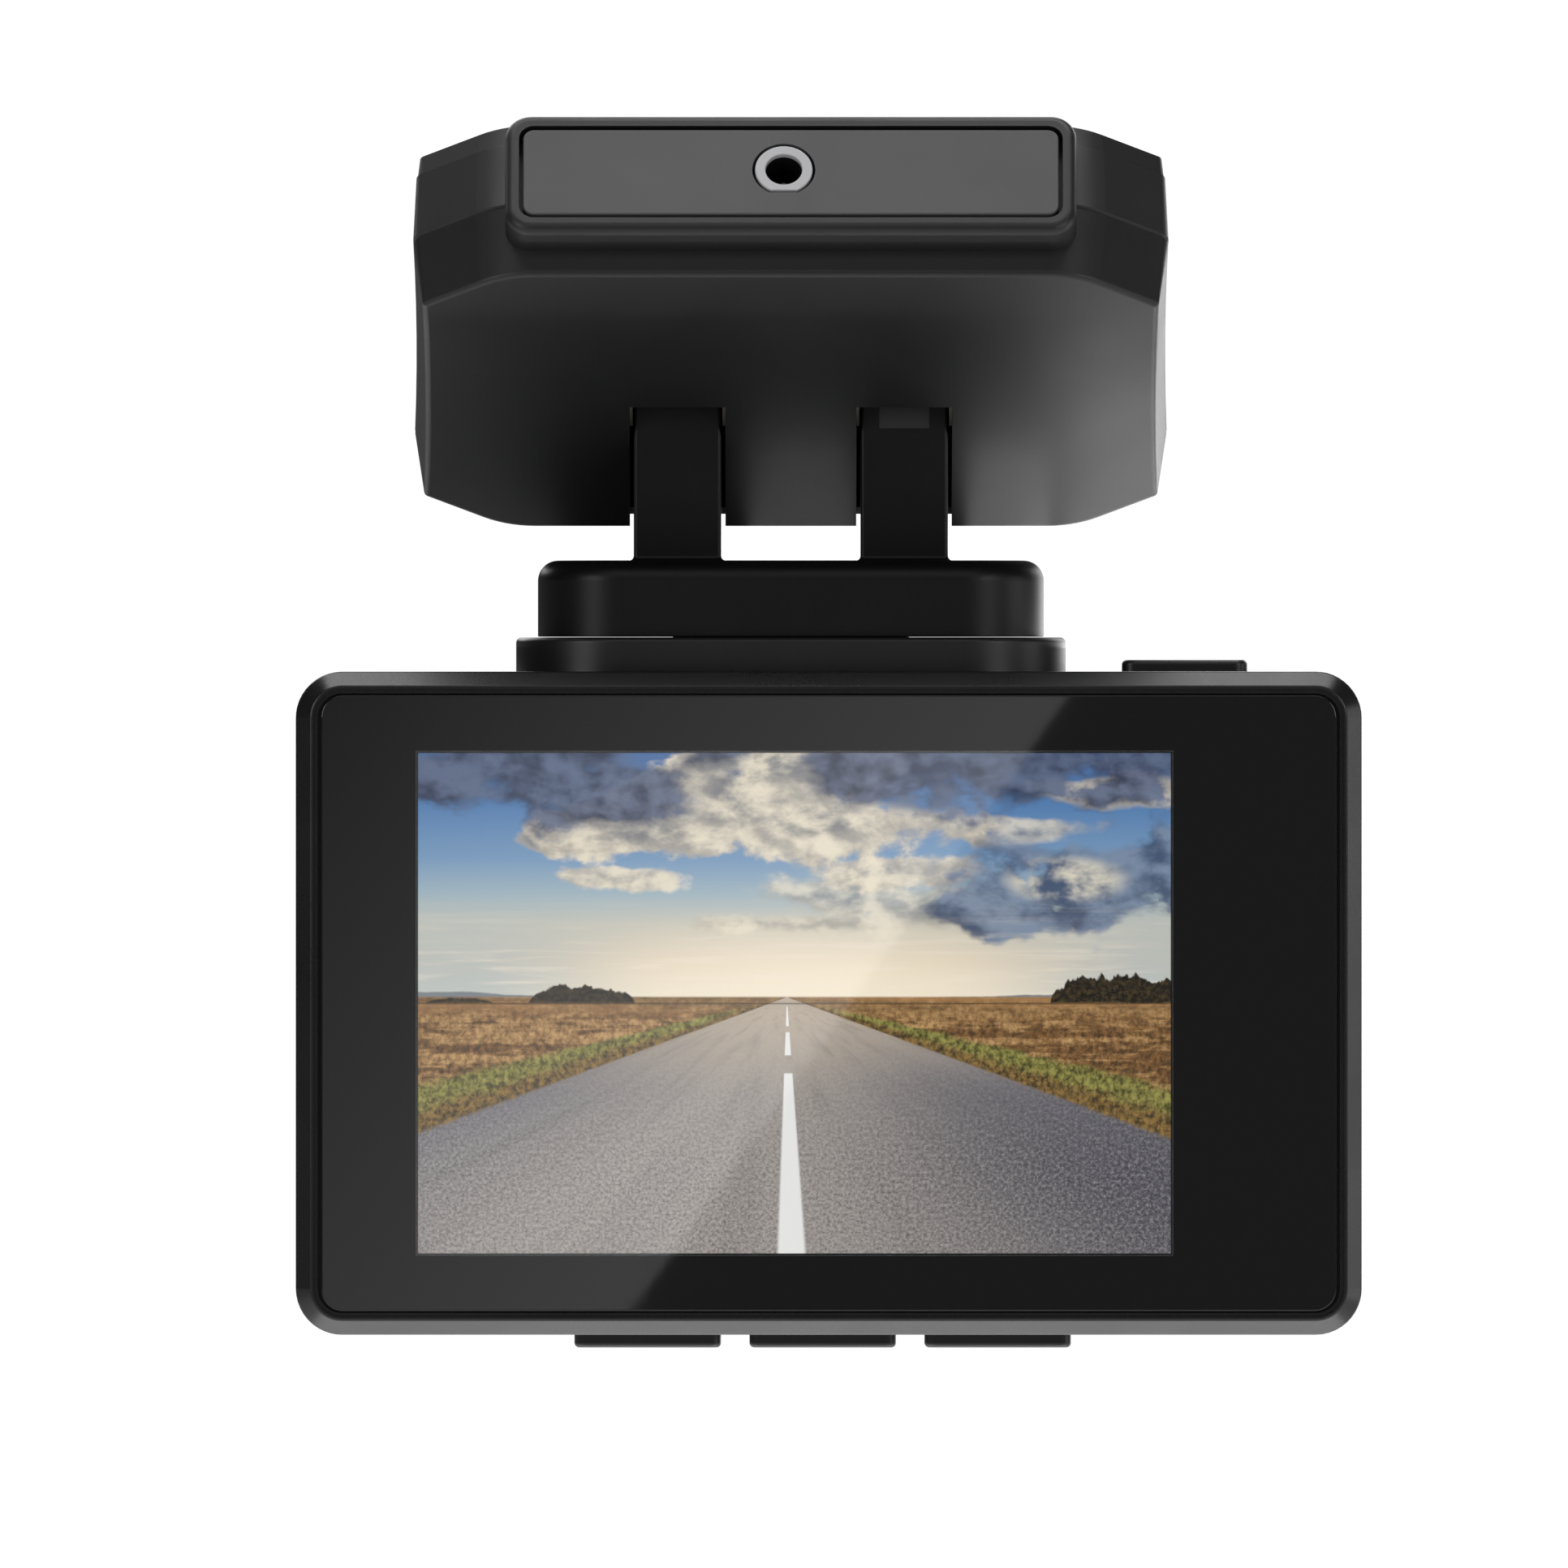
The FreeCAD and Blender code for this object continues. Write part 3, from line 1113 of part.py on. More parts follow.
def lens_barrel():
    """The threaded lens barrel, stepped, with its front retaining ring and a base on the sensor board."""
    centre = (CAMERA_X, CAMERA_Z)
    profile = [
        (0.0, HORN_REAR),
        (9.0, HORN_REAR),
        (9.0, 18.0),
        (5.4, 18.0),
        (5.4, 30.0),
        (LENS_BARREL_RADIUS, 30.8),
        (LENS_BARREL_RADIUS, 37.4),
        (LENS_BARREL_RADIUS - 0.4, 37.8),
        (LENS_GLASS_RADIUS, 37.8),
        (LENS_GLASS_RADIUS, 36.2),
        (LENS_GLASS_RADIUS - 0.8, 35.8),
        (2.4, 33.0),
        (2.4, 32.0),
        (0.0, 32.0),
    ]
    return turned(profile, centre)


def dome(radius, base, height, edge, centre):
    """A plano-convex lens: a rim of the given edge thickness under a spherical cap."""
    sphere_radius = (radius**2 + height**2) / (2 * height)
    middle = Vector(centre[0], base + edge + height - sphere_radius, centre[1])
    ball = Part.makeSphere(sphere_radius, middle)
    return rod("y", radius, base, base + edge + height, centre).common(ball)


def lens_glass():
    return dome(LENS_GLASS_RADIUS, 36.2, 1.3, 0.6, (CAMERA_X, CAMERA_Z))


def sensor_board():
    x, z = (CAMERA_X - 11.0, CAMERA_X + 11.0), (CAMERA_Z - 11.0, CAMERA_Z + 11.0)
    return block(x, (UPPER_BOARD_REAR, HORN_REAR), z)


def front_window():
    """The radar-clear cover, with a round hole for the laser lens."""
    centre = (WINDOW_X, WINDOW_Z)
    front = CASE_DEPTH + 0.3
    rear = CASE_DEPTH - WINDOW_DEPTH
    body = plate("y", WINDOW_WIDTH, WINDOW_HEIGHT, WINDOW_RADIUS - 0.2, rear, front, centre)
    body = soften(body, 0.3, lambda e: lies_at(e, "y", front))
    return body.cut(rod("y", LASER_RADIUS, rear - 1, front + 1, (LASER_X, LASER_Z)))


def laser_lens():
    centre = (LASER_X, LASER_Z)
    rear = FRONT_WALL - 0.1
    body = dome(LASER_RADIUS - 0.05, rear, 1.1, CASE_DEPTH + 0.4 - rear, centre)
    return body


# ---------------------------------------------------------------- keys
def key(name):
    """A key cap with the flange that keeps it in the case."""
    x, width, side, reach = KEYS[name]
    outer = side * (CASE_TOP + reach)
    flange_outer = side * (INNER_TOP - KEY_GAP / 2)
    flange_inner = flange_outer - side * KEY_FLANGE
    low, high = sorted((flange_inner, outer))
    cap = plate("z", width, KEY_DEPTH, 1.05, low, high, (x, KEY_Y))
    cap = soften(cap, 0.4, lambda e: lies_at(e, "z", outer))
    low, high = sorted((flange_inner, flange_outer))
    flange_size = (width + 2 * KEY_FLANGE_LIP, KEY_DEPTH + 2 * KEY_FLANGE_LIP)
    return cap.fuse(plate("z", *flange_size, 1.2, low, high, (x, KEY_Y))).removeSplitter()


# ---------------------------------------------------------------- assembly
def rotated_pivot():
    """The hinge axis in the row's frame."""
    tilt = math.radians(WINDSCREEN_ANGLE)
    y = PIVOT_Y * math.cos(tilt) + PIVOT_Z * math.sin(tilt)
    z = -PIVOT_Y * math.sin(tilt) + PIVOT_Z * math.cos(tilt)
    return Vector(0, y, z)


HEAD_FRAME = FreeCAD.Placement(Vector(0, 0, 0), FreeCAD.Rotation(Vector(1, 0, 0), -WINDSCREEN_ANGLE))
BRACKET_FRAME = FreeCAD.Placement(rotated_pivot(), FreeCAD.Rotation())
UNIT_ORIGIN = rotated_pivot() + Vector(
    CASE_OFFSET_X, CASE_REAR_FROM_PIVOT, BASE_BOTTOM - DOCK_GAP - PLINTH_HEIGHT - CASE_TOP
)
UNIT_FRAME = FreeCAD.Placement(UNIT_ORIGIN, FreeCAD.Rotation())

HEAD_PARTS = [
    adhesive_pad,
    head_backplate,
    head_upper_housing,
    head_lower_housing,
    socket_frame,
    socket_panel,
    dc_socket_flange,
    dc_socket_body,
    dc_socket_pin,
    head_board,
    gps_antenna,
    gps_receiver,
    head_screws,
    hinge_pin,
    hinge_clips,
    hinge_washers,
]
BRACKET_PARTS = [
    bracket_arms,
    friction_shoe,
    arm_flex,
    bracket_cover,
    bracket_screws,
    bracket_magnets,
    bracket_board,
    pogo_block,
    pogo_pins,
]
UNIT_PARTS = [
    dock_plinth,
    dock_magnets,
    dock_contacts,
    dock_board,
    rear_frame,
    rear_glass,
    glass_tape,
    display_cell,
    display_backlight,
    front_shell,
    case_screws,
    main_board,
    board_spacers,
    board_chips,
    processor_heatsink,
    supercapacitors,
    horn_antenna,
    radar_board,
    laser_receiver,
    speaker,
    key_switches,
    usb_socket,
    rear_camera_socket,
    card_socket,
    memory_card,
    lens_ring,
    lens_barrel,
    lens_glass,
    sensor_board,
    front_window,
    laser_lens,
]


def build():
    """Every node's shape, in the row's frame."""
    shapes = {}
    for frame, makers in ((HEAD_FRAME, HEAD_PARTS), (BRACKET_FRAME, BRACKET_PARTS), (UNIT_FRAME, UNIT_PARTS)):
        for make in makers:
            shapes[make.__name__] = (make(), frame)
    for name in KEYS:
        shapes[name] = (key(name), UNIT_FRAME)
    return {name: placed(shape, frame) for name, (shape, frame) in shapes.items()}


def placed(shape, frame):
    moved = shape.copy()
    moved.Placement = frame.multiply(moved.Placement)
    return moved


def main():
    os.makedirs("parts", exist_ok=True)
    for name, shape in build().items():
        if not shape.isValid() or any(solid.Volume <= 0 for solid in shape.Solids):
            print("check this shape:", name)
        print(f"{name}: {len(shape.Solids)} solid(s), {shape.Volume:.1f} mm3")
        shape.exportStep(os.path.join("parts", name + ".step"))


if __name__ == "__main__":
    main()
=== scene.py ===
"""Looks of the windscreen radar detector: procedural materials, the lit screen, studio light and camera."""

import bpy
import json
import math
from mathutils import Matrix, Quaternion, Vector


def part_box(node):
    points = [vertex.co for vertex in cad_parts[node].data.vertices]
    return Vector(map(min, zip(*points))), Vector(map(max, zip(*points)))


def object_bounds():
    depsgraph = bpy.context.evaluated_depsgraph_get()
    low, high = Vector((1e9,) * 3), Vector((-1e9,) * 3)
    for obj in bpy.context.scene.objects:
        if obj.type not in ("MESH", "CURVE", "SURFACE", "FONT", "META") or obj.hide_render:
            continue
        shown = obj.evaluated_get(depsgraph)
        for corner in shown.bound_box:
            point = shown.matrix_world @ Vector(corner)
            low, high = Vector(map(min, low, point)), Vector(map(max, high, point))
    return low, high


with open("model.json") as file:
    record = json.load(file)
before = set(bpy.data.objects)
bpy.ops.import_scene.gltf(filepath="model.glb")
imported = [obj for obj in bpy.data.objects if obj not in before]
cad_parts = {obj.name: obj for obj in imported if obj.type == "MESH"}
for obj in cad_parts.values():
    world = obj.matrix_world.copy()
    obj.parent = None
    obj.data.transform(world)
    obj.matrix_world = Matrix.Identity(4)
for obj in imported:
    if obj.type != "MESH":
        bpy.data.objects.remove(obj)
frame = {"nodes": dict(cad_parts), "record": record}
cad_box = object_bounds()
nodes = frame["nodes"]

MM = 0.001


# ---------------------------------------------------------------- places, from the frame
def middle(node):
    low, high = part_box(node)
    return (low + high) / 2


CASE_MIDDLE = middle("rear_frame")
CASE_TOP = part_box("rear_frame")[1].z
GLASS_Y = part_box("rear_glass")[0].y  # the glass's outer face
CELL_MIDDLE = middle("display_cell")
PICTURE_WIDTH = 63.6 * MM
PICTURE_HEIGHT = 42.3 * MM
PICTURE_LEFT = CELL_MIDDLE.x - PICTURE_WIDTH / 2
PICTURE_BOTTOM = CELL_MIDDLE.z - PICTURE_HEIGHT / 2


# ---------------------------------------------------------------- node helpers
class Graph:
    """A material's node tree, with one short method per kind of node."""

    def __init__(self, name):
        self.material = bpy.data.materials.new(name)
        self.material.use_nodes = True
        self.tree = self.material.node_tree
        self.tree.nodes.clear()
        self.output = self.tree.nodes.new("ShaderNodeOutputMaterial")

    def add(self, kind, **settings):
        node = self.tree.nodes.new("ShaderNode" + kind)
        for key, value in settings.items():
            setattr(node, key, value)
        return node

    def feed(self, socket, value):
        if isinstance(value, bpy.types.NodeSocket):
            self.tree.links.new(value, socket)
        elif value is not None:
            socket.default_value = value

    def math(self, operation, a, b=None, c=None):
        node = self.add("Math", operation=operation)
        for socket, value in zip(node.inputs, (a, b, c)):
            self.feed(socket, value)
        return node.outputs[0]

    def plus(self, a, b):
        return self.math("ADD", a, b)

    def minus(self, a, b):
        return self.math("SUBTRACT", a, b)

    def times(self, a, b):
        return self.math("MULTIPLY", a, b)

    def off_from(self, value, centre):
        """How far value is from centre, either way."""
        return self.math("ABSOLUTE", self.minus(value, centre))

    def step(self, value, low, high):
        """0 up to low and 1 from high, smooth between; with low above high, 1 up to high and 0 from low."""
        node = self.add("MapRange", interpolation_type="SMOOTHSTEP")
        if low > high:
            low, high, ends = high, low, (1.0, 0.0)
        else:
            ends = (0.0, 1.0)
        self.feed(node.inputs["Value"], value)
        node.inputs["From Min"].default_value = low
        node.inputs["From Max"].default_value = high
        node.inputs["To Min"].default_value, node.inputs["To Max"].default_value = ends
        return node.outputs[0]

    def span(self, value, low, high, to_low, to_high):
        """low to high spread in a straight line over to_low to to_high, and held beyond."""
        node = self.add("MapRange")
        self.feed(node.inputs["Value"], value)
        for key, number in zip(("From Min", "From Max", "To Min", "To Max"), (low, high, to_low, to_high)):
            self.feed(node.inputs[key], number)
        return node.outputs[0]

    def place(self):
        return self.add("TexCoord").outputs["Object"]

    def split(self, vector):
        node = self.add("SeparateXYZ")
        self.feed(node.inputs[0], vector)
        return node.outputs

    def join(self, x, y, z=0.0):
        node = self.add("CombineXYZ")
        for socket, value in zip(node.inputs, (x, y, z)):
            self.feed(socket, value)
        return node.outputs[0]

    def noise(self, vector, scale, detail=2.0, rough=0.5, distortion=0.0):
        node = self.add("TexNoise")
        self.feed(node.inputs["Vector"], vector)
        node.inputs["Scale"].default_value = scale
        node.inputs["Detail"].default_value = detail
        node.inputs["Roughness"].default_value = rough
        node.inputs["Distortion"].default_value = distortion
        return node.outputs["Fac"]

    def oval(self, x, y, centre_x, centre_y, half_x, half_y):
        """Distance from the centre of an oval, 1 on its outline."""
        across = self.math("MULTIPLY_ADD", x, 1 / half_x, -centre_x / half_x)
        along = self.math("MULTIPLY_ADD", y, 1 / half_y, -centre_y / half_y)
        node = self.add("VectorMath", operation="LENGTH")
        self.feed(node.inputs[0], self.join(across, along))
        return node.outputs["Value"]

    def voronoi(self, vector, scale):
        node = self.add("TexVoronoi")
        self.feed(node.inputs["Vector"], vector)
        node.inputs["Scale"].default_value = scale
        return node.outputs["Distance"]

    def mix(self, amount, a, b):
        node = self.add("Mix", data_type="RGBA")
        self.feed(node.inputs[0], amount)
        self.feed(node.inputs[6], opaque(a))
        self.feed(node.inputs[7], opaque(b))
        return node.outputs[2]

    def ramp(self, value, *stops):
        """A colour ramp from (position, colour) stops."""
        node = self.add("ValToRGB")
        elements = node.color_ramp.elements
        while len(elements) < len(stops):
            elements.new(0.5)
        for element, (position, colour) in zip(elements, stops):
            element.position = position
            element.color = opaque(colour)
        self.feed(node.inputs[0], value)
        return node.outputs[0]

    def bump(self, height, strength, distance):
        node = self.add("Bump")
        node.inputs["Strength"].default_value = strength
        node.inputs["Distance"].default_value = distance
        self.feed(node.inputs["Height"], height)
        return node.outputs[0]

    def edge(self, radius):
        """About 1 on edges and corners tighter than radius, 0 on flats."""
        bevel = self.add("Bevel", samples=6)
        bevel.inputs["Radius"].default_value = radius
        flat = self.add("NewGeometry").outputs["Normal"]
        dot = self.add("VectorMath", operation="DOT_PRODUCT")
        self.feed(dot.inputs[0], bevel.outputs[0])
        self.feed(dot.inputs[1], flat)
        return self.step(dot.outputs["Value"], 0.995, 0.86)

    def surface(self, **sockets):
        shader = self.add("BsdfPrincipled")
        for key, value in sockets.items():
            self.feed(shader.inputs[key.replace("_", " ")], opaque(value))
        self.feed(self.output.inputs["Surface"], shader.outputs[0])
        return self.material


def opaque(value):
    """A colour given as red, green and blue gets its alpha; anything else is left alone."""
    return (*value, 1.0) if isinstance(value, tuple) and len(value) == 3 else value


def linear(hex_colour):
    """A colour as the shaders take it, from its value as displayed."""
    values = [int(hex_colour[i : i + 2], 16) / 255 for i in (0, 2, 4)]
    return tuple(v / 12.92 if v <= 0.04045 else ((v + 0.055) / 1.055) ** 2.4 for v in values)


# ---------------------------------------------------------------- materials
def moulded(name, colour, rough, grain=0.10, grain_size=0.28, wear_and_highlight_amount=0.35, specular=0.5):
    """Injection-moulded plastic: a fine spark-eroded grain, handling smears, and paler edges that are partly
    wear and partly a painted highlight.
    """
    g = Graph(name)
    place = g.place()
    fine = g.noise(place, 1 / (grain_size * MM), 3.0, 0.6)
    smear = g.noise(place, 70.0, 4.0, 0.6, 0.4)
    dust = g.noise(place, 900.0, 5.0, 0.7)
    # paler edges where the smear noise allows: partly wear, partly a painted highlight standing in for light
    # caught along the edges
    wear_and_highlight_edges = g.times(g.edge(0.35 * MM), g.step(smear, 0.30, 0.72))
    pale = tuple(min(c * 2.2 + 0.012, 1.0) for c in colour)
    base = g.mix(g.span(smear, 0.2, 0.8, 0.0, 0.35), colour, tuple(c * 0.72 for c in colour))
    base = g.mix(g.times(g.step(dust, 0.66, 0.80), 0.25), base, pale)
    base = g.mix(g.times(wear_and_highlight_edges, wear_and_highlight_amount), base, pale)
    roughness = g.span(smear, 0.25, 0.75, rough - 0.05, rough + 0.06)
    roughness = g.plus(roughness, g.span(fine, 0.2, 0.8, -0.03, 0.03))
    roughness = g.minus(roughness, g.times(wear_and_highlight_edges, 0.10))
    normal = g.bump(fine, grain, 0.02 * MM)
    return g.surface(Base_Color=base, Roughness=roughness, Normal=normal, Specular_IOR_Level=specular)


def polished(name, colour, rough=0.06, coat=0.0, transmission=None, wiped=0.09):
    """Gloss plastic or glass with faint wipe marks."""
    g = Graph(name)
    place = g.place()
    smear = g.noise(place, 45.0, 4.0, 0.6, 1.2)
    fine = g.noise(place, 1500.0, 4.0, 0.7)
    marks = g.plus(g.step(smear, 0.52, 0.78), g.times(g.step(fine, 0.62, 0.8), 0.4))
    roughness = g.span(marks, 0.0, 1.4, rough, rough + wiped)
    base = g.mix(g.span(smear, 0.2, 0.8, 0.0, 0.3), colour, tuple(c * 0.7 for c in colour))
    normal = g.bump(smear, 0.02, 0.1 * MM)
    settings = {"Base_Color": base, "Roughness": roughness, "Normal": normal}
    if coat:
        settings["Coat_Weight"] = coat
    if transmission is not None:
        settings["Transmission_Weight"] = transmission
    return g.surface(**settings)


def metal(name, colour, rough, streak=(900.0, 60.0, 900.0)):
    """Bare or plated metal: drawn streaks, tarnish in patches, and brighter edges that are partly wear and
    partly a painted highlight.
    """
    g = Graph(name)
    place = g.place()
    stretched = g.join(*(g.times(axis, rate * 2) for axis, rate in zip(g.split(place), streak)))
    lines = g.noise(stretched, 1.0, 3.0, 0.6)
    patch = g.noise(place, 260.0, 4.0, 0.65)
    # brighter edges: partly wear, partly a painted highlight
    wear_and_highlight_edges = g.edge(0.2 * MM)
    dark = tuple(c * 0.5 for c in colour)
    bright = tuple(min(c * 1.25, 1.0) for c in colour)
    base = g.mix(g.step(patch, 0.42, 0.72), colour, dark)
    base = g.mix(g.times(wear_and_highlight_edges, 0.6), base, bright)
    roughness = g.span(lines, 0.2, 0.8, rough - 0.07, rough + 0.07)
    roughness = g.plus(roughness, g.times(g.step(patch, 0.45, 0.75), 0.12))
    normal = g.bump(lines, 0.12, 0.01 * MM)
    return g.surface(Base_Color=base, Metallic=1.0, Roughness=roughness, Normal=normal)


def port_metal(name, node):
    """A plated shell whose mouth opens on +x; deeper in it turns near-black and not metallic, for the black
    plastic tongue and back wall and as painted shade on the shell's own inner walls.
    """
    g = Graph(name)
    place = g.place()
    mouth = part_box(node)[1].x
    x, _, _ = g.split(place)
    # beyond 0.9 mm from the mouth all is near-black: the plastic tongue and back wall, and painted shade on
    # the shell's inner walls
    deep = g.step(x, mouth - 0.5 * MM, mouth - 0.9 * MM)
    lines = g.noise(place, 1400.0, 3.0, 0.6)
    base = g.mix(deep, g.mix(lines, linear("a9aaaa"), linear("c9caca")), linear("0e0e0f"))
    roughness = g.span(lines, 0.2, 0.8, 0.24, 0.40)
    metallic = g.span(deep, 0.0, 1.0, 1.0, 0.0)
    normal = g.bump(lines, 0.1, 0.01 * MM)
    return g.surface(Base_Color=base, Metallic=metallic, Roughness=roughness, Normal=normal)


def circuit_board(name):
    """Green solder mask over a hatch of tracks, with tinned pads."""
    g = Graph(name)
    place = g.place()
    x, _, _ = g.split(place)
    cells = g.voronoi(place, 600.0)
    wander = g.noise(place, 420.0, 2.0, 0.4)
    stripes = g.math("PINGPONG", g.plus(g.times(x, 1400.0), g.times(wander, 2.0)), 0.5)
    tracks = g.step(stripes, 0.24, 0.30)
    pads = g.step(cells, 0.14, 0.11)
    board = g.mix(tracks, linear("0f3a24"), linear("175233"))
    return g.surface(
        Base_Color=g.mix(pads, board, linear("c9c2ac")),
        Roughness=g.span(wander, 0.2, 0.8, 0.28, 0.46),
        Metallic=g.times(pads, 0.8),
        Normal=g.bump(g.plus(tracks, pads), 0.3, 0.03 * MM),
    )


def foam(name):
    """Black foam tape with open cells."""
    g = Graph(name)
    place = g.place()
    cells = g.voronoi(place, 3800.0)
    mottle = g.noise(place, 300.0, 4.0, 0.6)
    colour = g.mix(mottle, linear("1b1b1c"), linear("2e2e30"))
    roughness = g.span(mottle, 0.2, 0.8, 0.72, 0.9)
    return g.surface(Base_Color=colour, Roughness=roughness, Normal=g.bump(cells, 0.5, 0.05 * MM))


def ceramic(name):
    """Fired ceramic, buff with darker specks."""
    g = Graph(name)
    place = g.place()
    speck = g.noise(place, 2400.0, 4.0, 0.7)
    colour = g.mix(g.step(speck, 0.55, 0.7), linear("b9ab8c"), linear("8f8268"))
    roughness = g.span(speck, 0.2, 0.8, 0.5, 0.7)
    return g.surface(Base_Color=colour, Roughness=roughness, Normal=g.bump(speck, 0.2, 0.03 * MM))


# ---------------------------------------------------------------- the picture on the screen
# u and v run from 0 to 1 across and up the picture
HORIZON = 0.512
VANISH = 0.490
SUN_U = 0.52
ROAD_HALF = 1.80  # across the road, counted in distances below the horizon
LINE_CENTRE = 0.012
LINE_HALF = 0.036


def picture_sky(g, u, height):
    """Blue above, warm and pale towards the horizon, brightest over the road's end."""
    sky = g.ramp(
        height,
        (0.0, linear("efe3cd")),
        (0.14, linear("e4d4bd")),
        (0.30, linear("cdc9bb")),
        (0.42, linear("a3b7c1")),
        (0.56, linear("7a9cbf")),
        (0.78, linear("5580b2")),
        (1.0, linear("4a6da0")),
    )
    outer = g.times(g.step(g.off_from(u, SUN_U), 0.16, 0.46), g.step(height, 0.55, 0.05))
    sky = g.mix(g.times(outer, 0.55), sky, linear("93aebb"))
    glow = g.minus(1.0, g.oval(u, height, SUN_U, 0.0, 0.42, 0.40))
    return g.mix(g.times(g.step(glow, 0.0, 1.0), 0.8), sky, linear("fff1d8"))


def picture_clouds(g, u, v, height, sky):
    """Cream clouds, slate banks along the top and a heap on the right, over the sky."""
    aspect = PICTURE_WIDTH / PICTURE_HEIGHT

    def billow(shift, detail):
        place = g.join(g.plus(g.times(u, aspect), shift), g.plus(g.times(v, 1.45), shift), 4.2)
        return g.noise(place, 6.5, detail, 0.56, 0.12)

    # lit from the upper right: the texture is compared with itself a little further on
    relief = g.step(g.minus(billow(0.0, 5.0), billow(0.026, 5.0)), -0.13, 0.13)
    ragged = g.times(g.minus(billow(0.0, 8.0), 0.5), 2.6)

    def mass(*ovals):
        """How far inside the nearest of some (u, height, half width, half height) ovals."""
        deep = None
        for oval in ovals:
            one = g.minus(1.0, g.oval(u, height, *oval))
            deep = one if deep is None else g.math("MAXIMUM", deep, one)
        return g.plus(deep, ragged)

    low = mass(
        (0.55, 0.42, 0.15, 0.13), (0.69, 0.35, 0.16, 0.12),
        (0.80, 0.68, 0.12, 0.06), (0.46, 0.30, 0.18, 0.06),
    )
    small = mass(
        (0.17, 0.64, 0.07, 0.06), (0.27, 0.49, 0.13, 0.07),
        (0.61, 0.52, 0.15, 0.09), (0.93, 0.85, 0.12, 0.08),
    )
    tops = mass(
        (0.46, 0.97, 0.25, 0.34), (0.56, 0.70, 0.17, 0.22),
        (0.29, 0.66, 0.17, 0.15), (0.43, 0.80, 0.16, 0.22),
    )
    for deep, soft, strength in ((low, 0.5, 0.70), (small, 0.35, 0.90), (tops, 0.3, 0.97)):
        shaded = g.mix(g.step(deep, 0.1, 0.8), linear("b5aca0"), linear("7d7d80"))
        colour = g.mix(relief, shaded, linear("efe3cc"))
        sky = g.mix(g.times(g.step(deep, 0.06, 0.06 + soft), strength), sky, colour)

    banks = mass(
        (0.13, 0.99, 0.28, 0.30), (0.26, 0.86, 0.13, 0.19),
        (0.80, 1.05, 0.34, 0.27), (0.64, 0.89, 0.14, 0.19),
    )
    slate = g.mix(relief, linear("29314a"), linear("5f6c88"))
    sky = g.mix(g.times(g.step(banks, 0.02, 0.40), 0.96), sky, slate)

    heap = mass((0.90, 0.44, 0.20, 0.21), (0.83, 0.33, 0.19, 0.10), (1.0, 0.56, 0.12, 0.20))
    crest = g.times(g.minus(1.0, g.oval(u, height, 0.86, 0.48, 0.11, 0.13)), 1.6)
    heap_colour = g.mix(relief, linear("3f4f6d"), linear("7c8da6"))
    heap_colour = g.mix(g.times(g.step(crest, 0.2, 1.0), relief), heap_colour, linear("f0e4c8"))
    sky = g.mix(g.times(g.step(heap, 0.05, 0.42), 0.94), sky, heap_colour)

    streaks = g.noise(g.join(g.times(u, 2.2), g.times(v, 24.0)), 2.4, 5.0, 0.6, 0.4)
    veil = g.times(g.step(streaks, 0.46, 0.72), g.times(g.step(height, 0.46, 0.06), 0.45))
    return g.mix(veil, sky, linear("fbeedb"))


def picture_fields(g, u, v, depth, off, blades):
    """Straw and bare soil, with a rough green verge and a scuffed shoulder along the road."""
    tufts = g.noise(g.join(g.times(u, 26.0), g.times(v, 60.0)), 1.0, 6.0, 0.68)
    bands = g.noise(g.join(g.times(u, 1.6), g.times(v, 40.0)), 1.0, 4.0, 0.55)
    straw = g.mix(g.step(blades, 0.35, 0.66), linear("86623a"), linear("c7a06c"))
    soil = g.mix(g.step(blades, 0.35, 0.66), linear("453420"), linear("8a6238"))
    field = g.mix(g.step(g.plus(g.times(tufts, 0.5), g.times(bands, 0.5)), 0.44, 0.56), soil, straw)
    far_field = g.mix(g.step(bands, 0.42, 0.6), linear("b98d5c"), linear("6b5233"))
    field = g.mix(g.times(g.step(depth, 0.06, 0.0), 0.6), field, far_field)
    rough_off = g.plus(off, g.times(g.minus(tufts, 0.5), 0.9))
    verge = g.times(g.step(rough_off, 3.0, 2.6), g.step(depth, 0.0, 0.05))
    grass = g.mix(g.step(blades, 0.34, 0.66), linear("3d3f1c"), linear("9c9c50"))
    field = g.mix(g.times(verge, 0.85), field, grass)
    dirt = g.mix(g.step(blades, 0.36, 0.64), linear("33281a"), linear("94703f"))
    return g.mix(g.times(g.step(rough_off, 2.35, 2.0), 0.85), field, dirt)


def picture_road(g, u, v, depth, across):
    """Worn tar, pale far off and darker near on the right, gritty near."""
    near = g.step(depth, 0.05, 0.40)
    reach = g.math("DIVIDE", 0.06, depth)
    grit = g.noise(g.join(g.times(u, 210.0), g.times(v, 150.0)), 1.0, 6.0, 0.9)
    wear = g.noise(g.join(g.times(across, 2.4), g.times(reach, 1.2)), 2.0, 5.0, 0.6, 0.2)
    tar = g.mix(g.step(g.off_from(across, -0.15), 1.9, 0.2), linear("76747a"), linear("a39b95"))
    tar = g.mix(g.times(g.step(depth, 0.22, 0.0), 0.85), tar, linear("c6b6a2"))
    tar = g.mix(g.times(g.times(g.step(across, -0.2, 1.3), near), 0.85), tar, linear("3c3c4a"))
    tar = g.mix(g.times(g.step(wear, 0.45, 0.7), 0.25), tar, linear("5e5a5c"))
    tar = g.mix(g.times(g.step(grit, 0.47, 0.64), g.span(near, 0.0, 1.0, 0.05, 0.50)), tar, linear("cfc9c6"))
    return g.mix(g.times(g.step(grit, 0.53, 0.36), g.span(near, 0.0, 1.0, 0.05, 0.70)), tar, linear("2c2a30"))


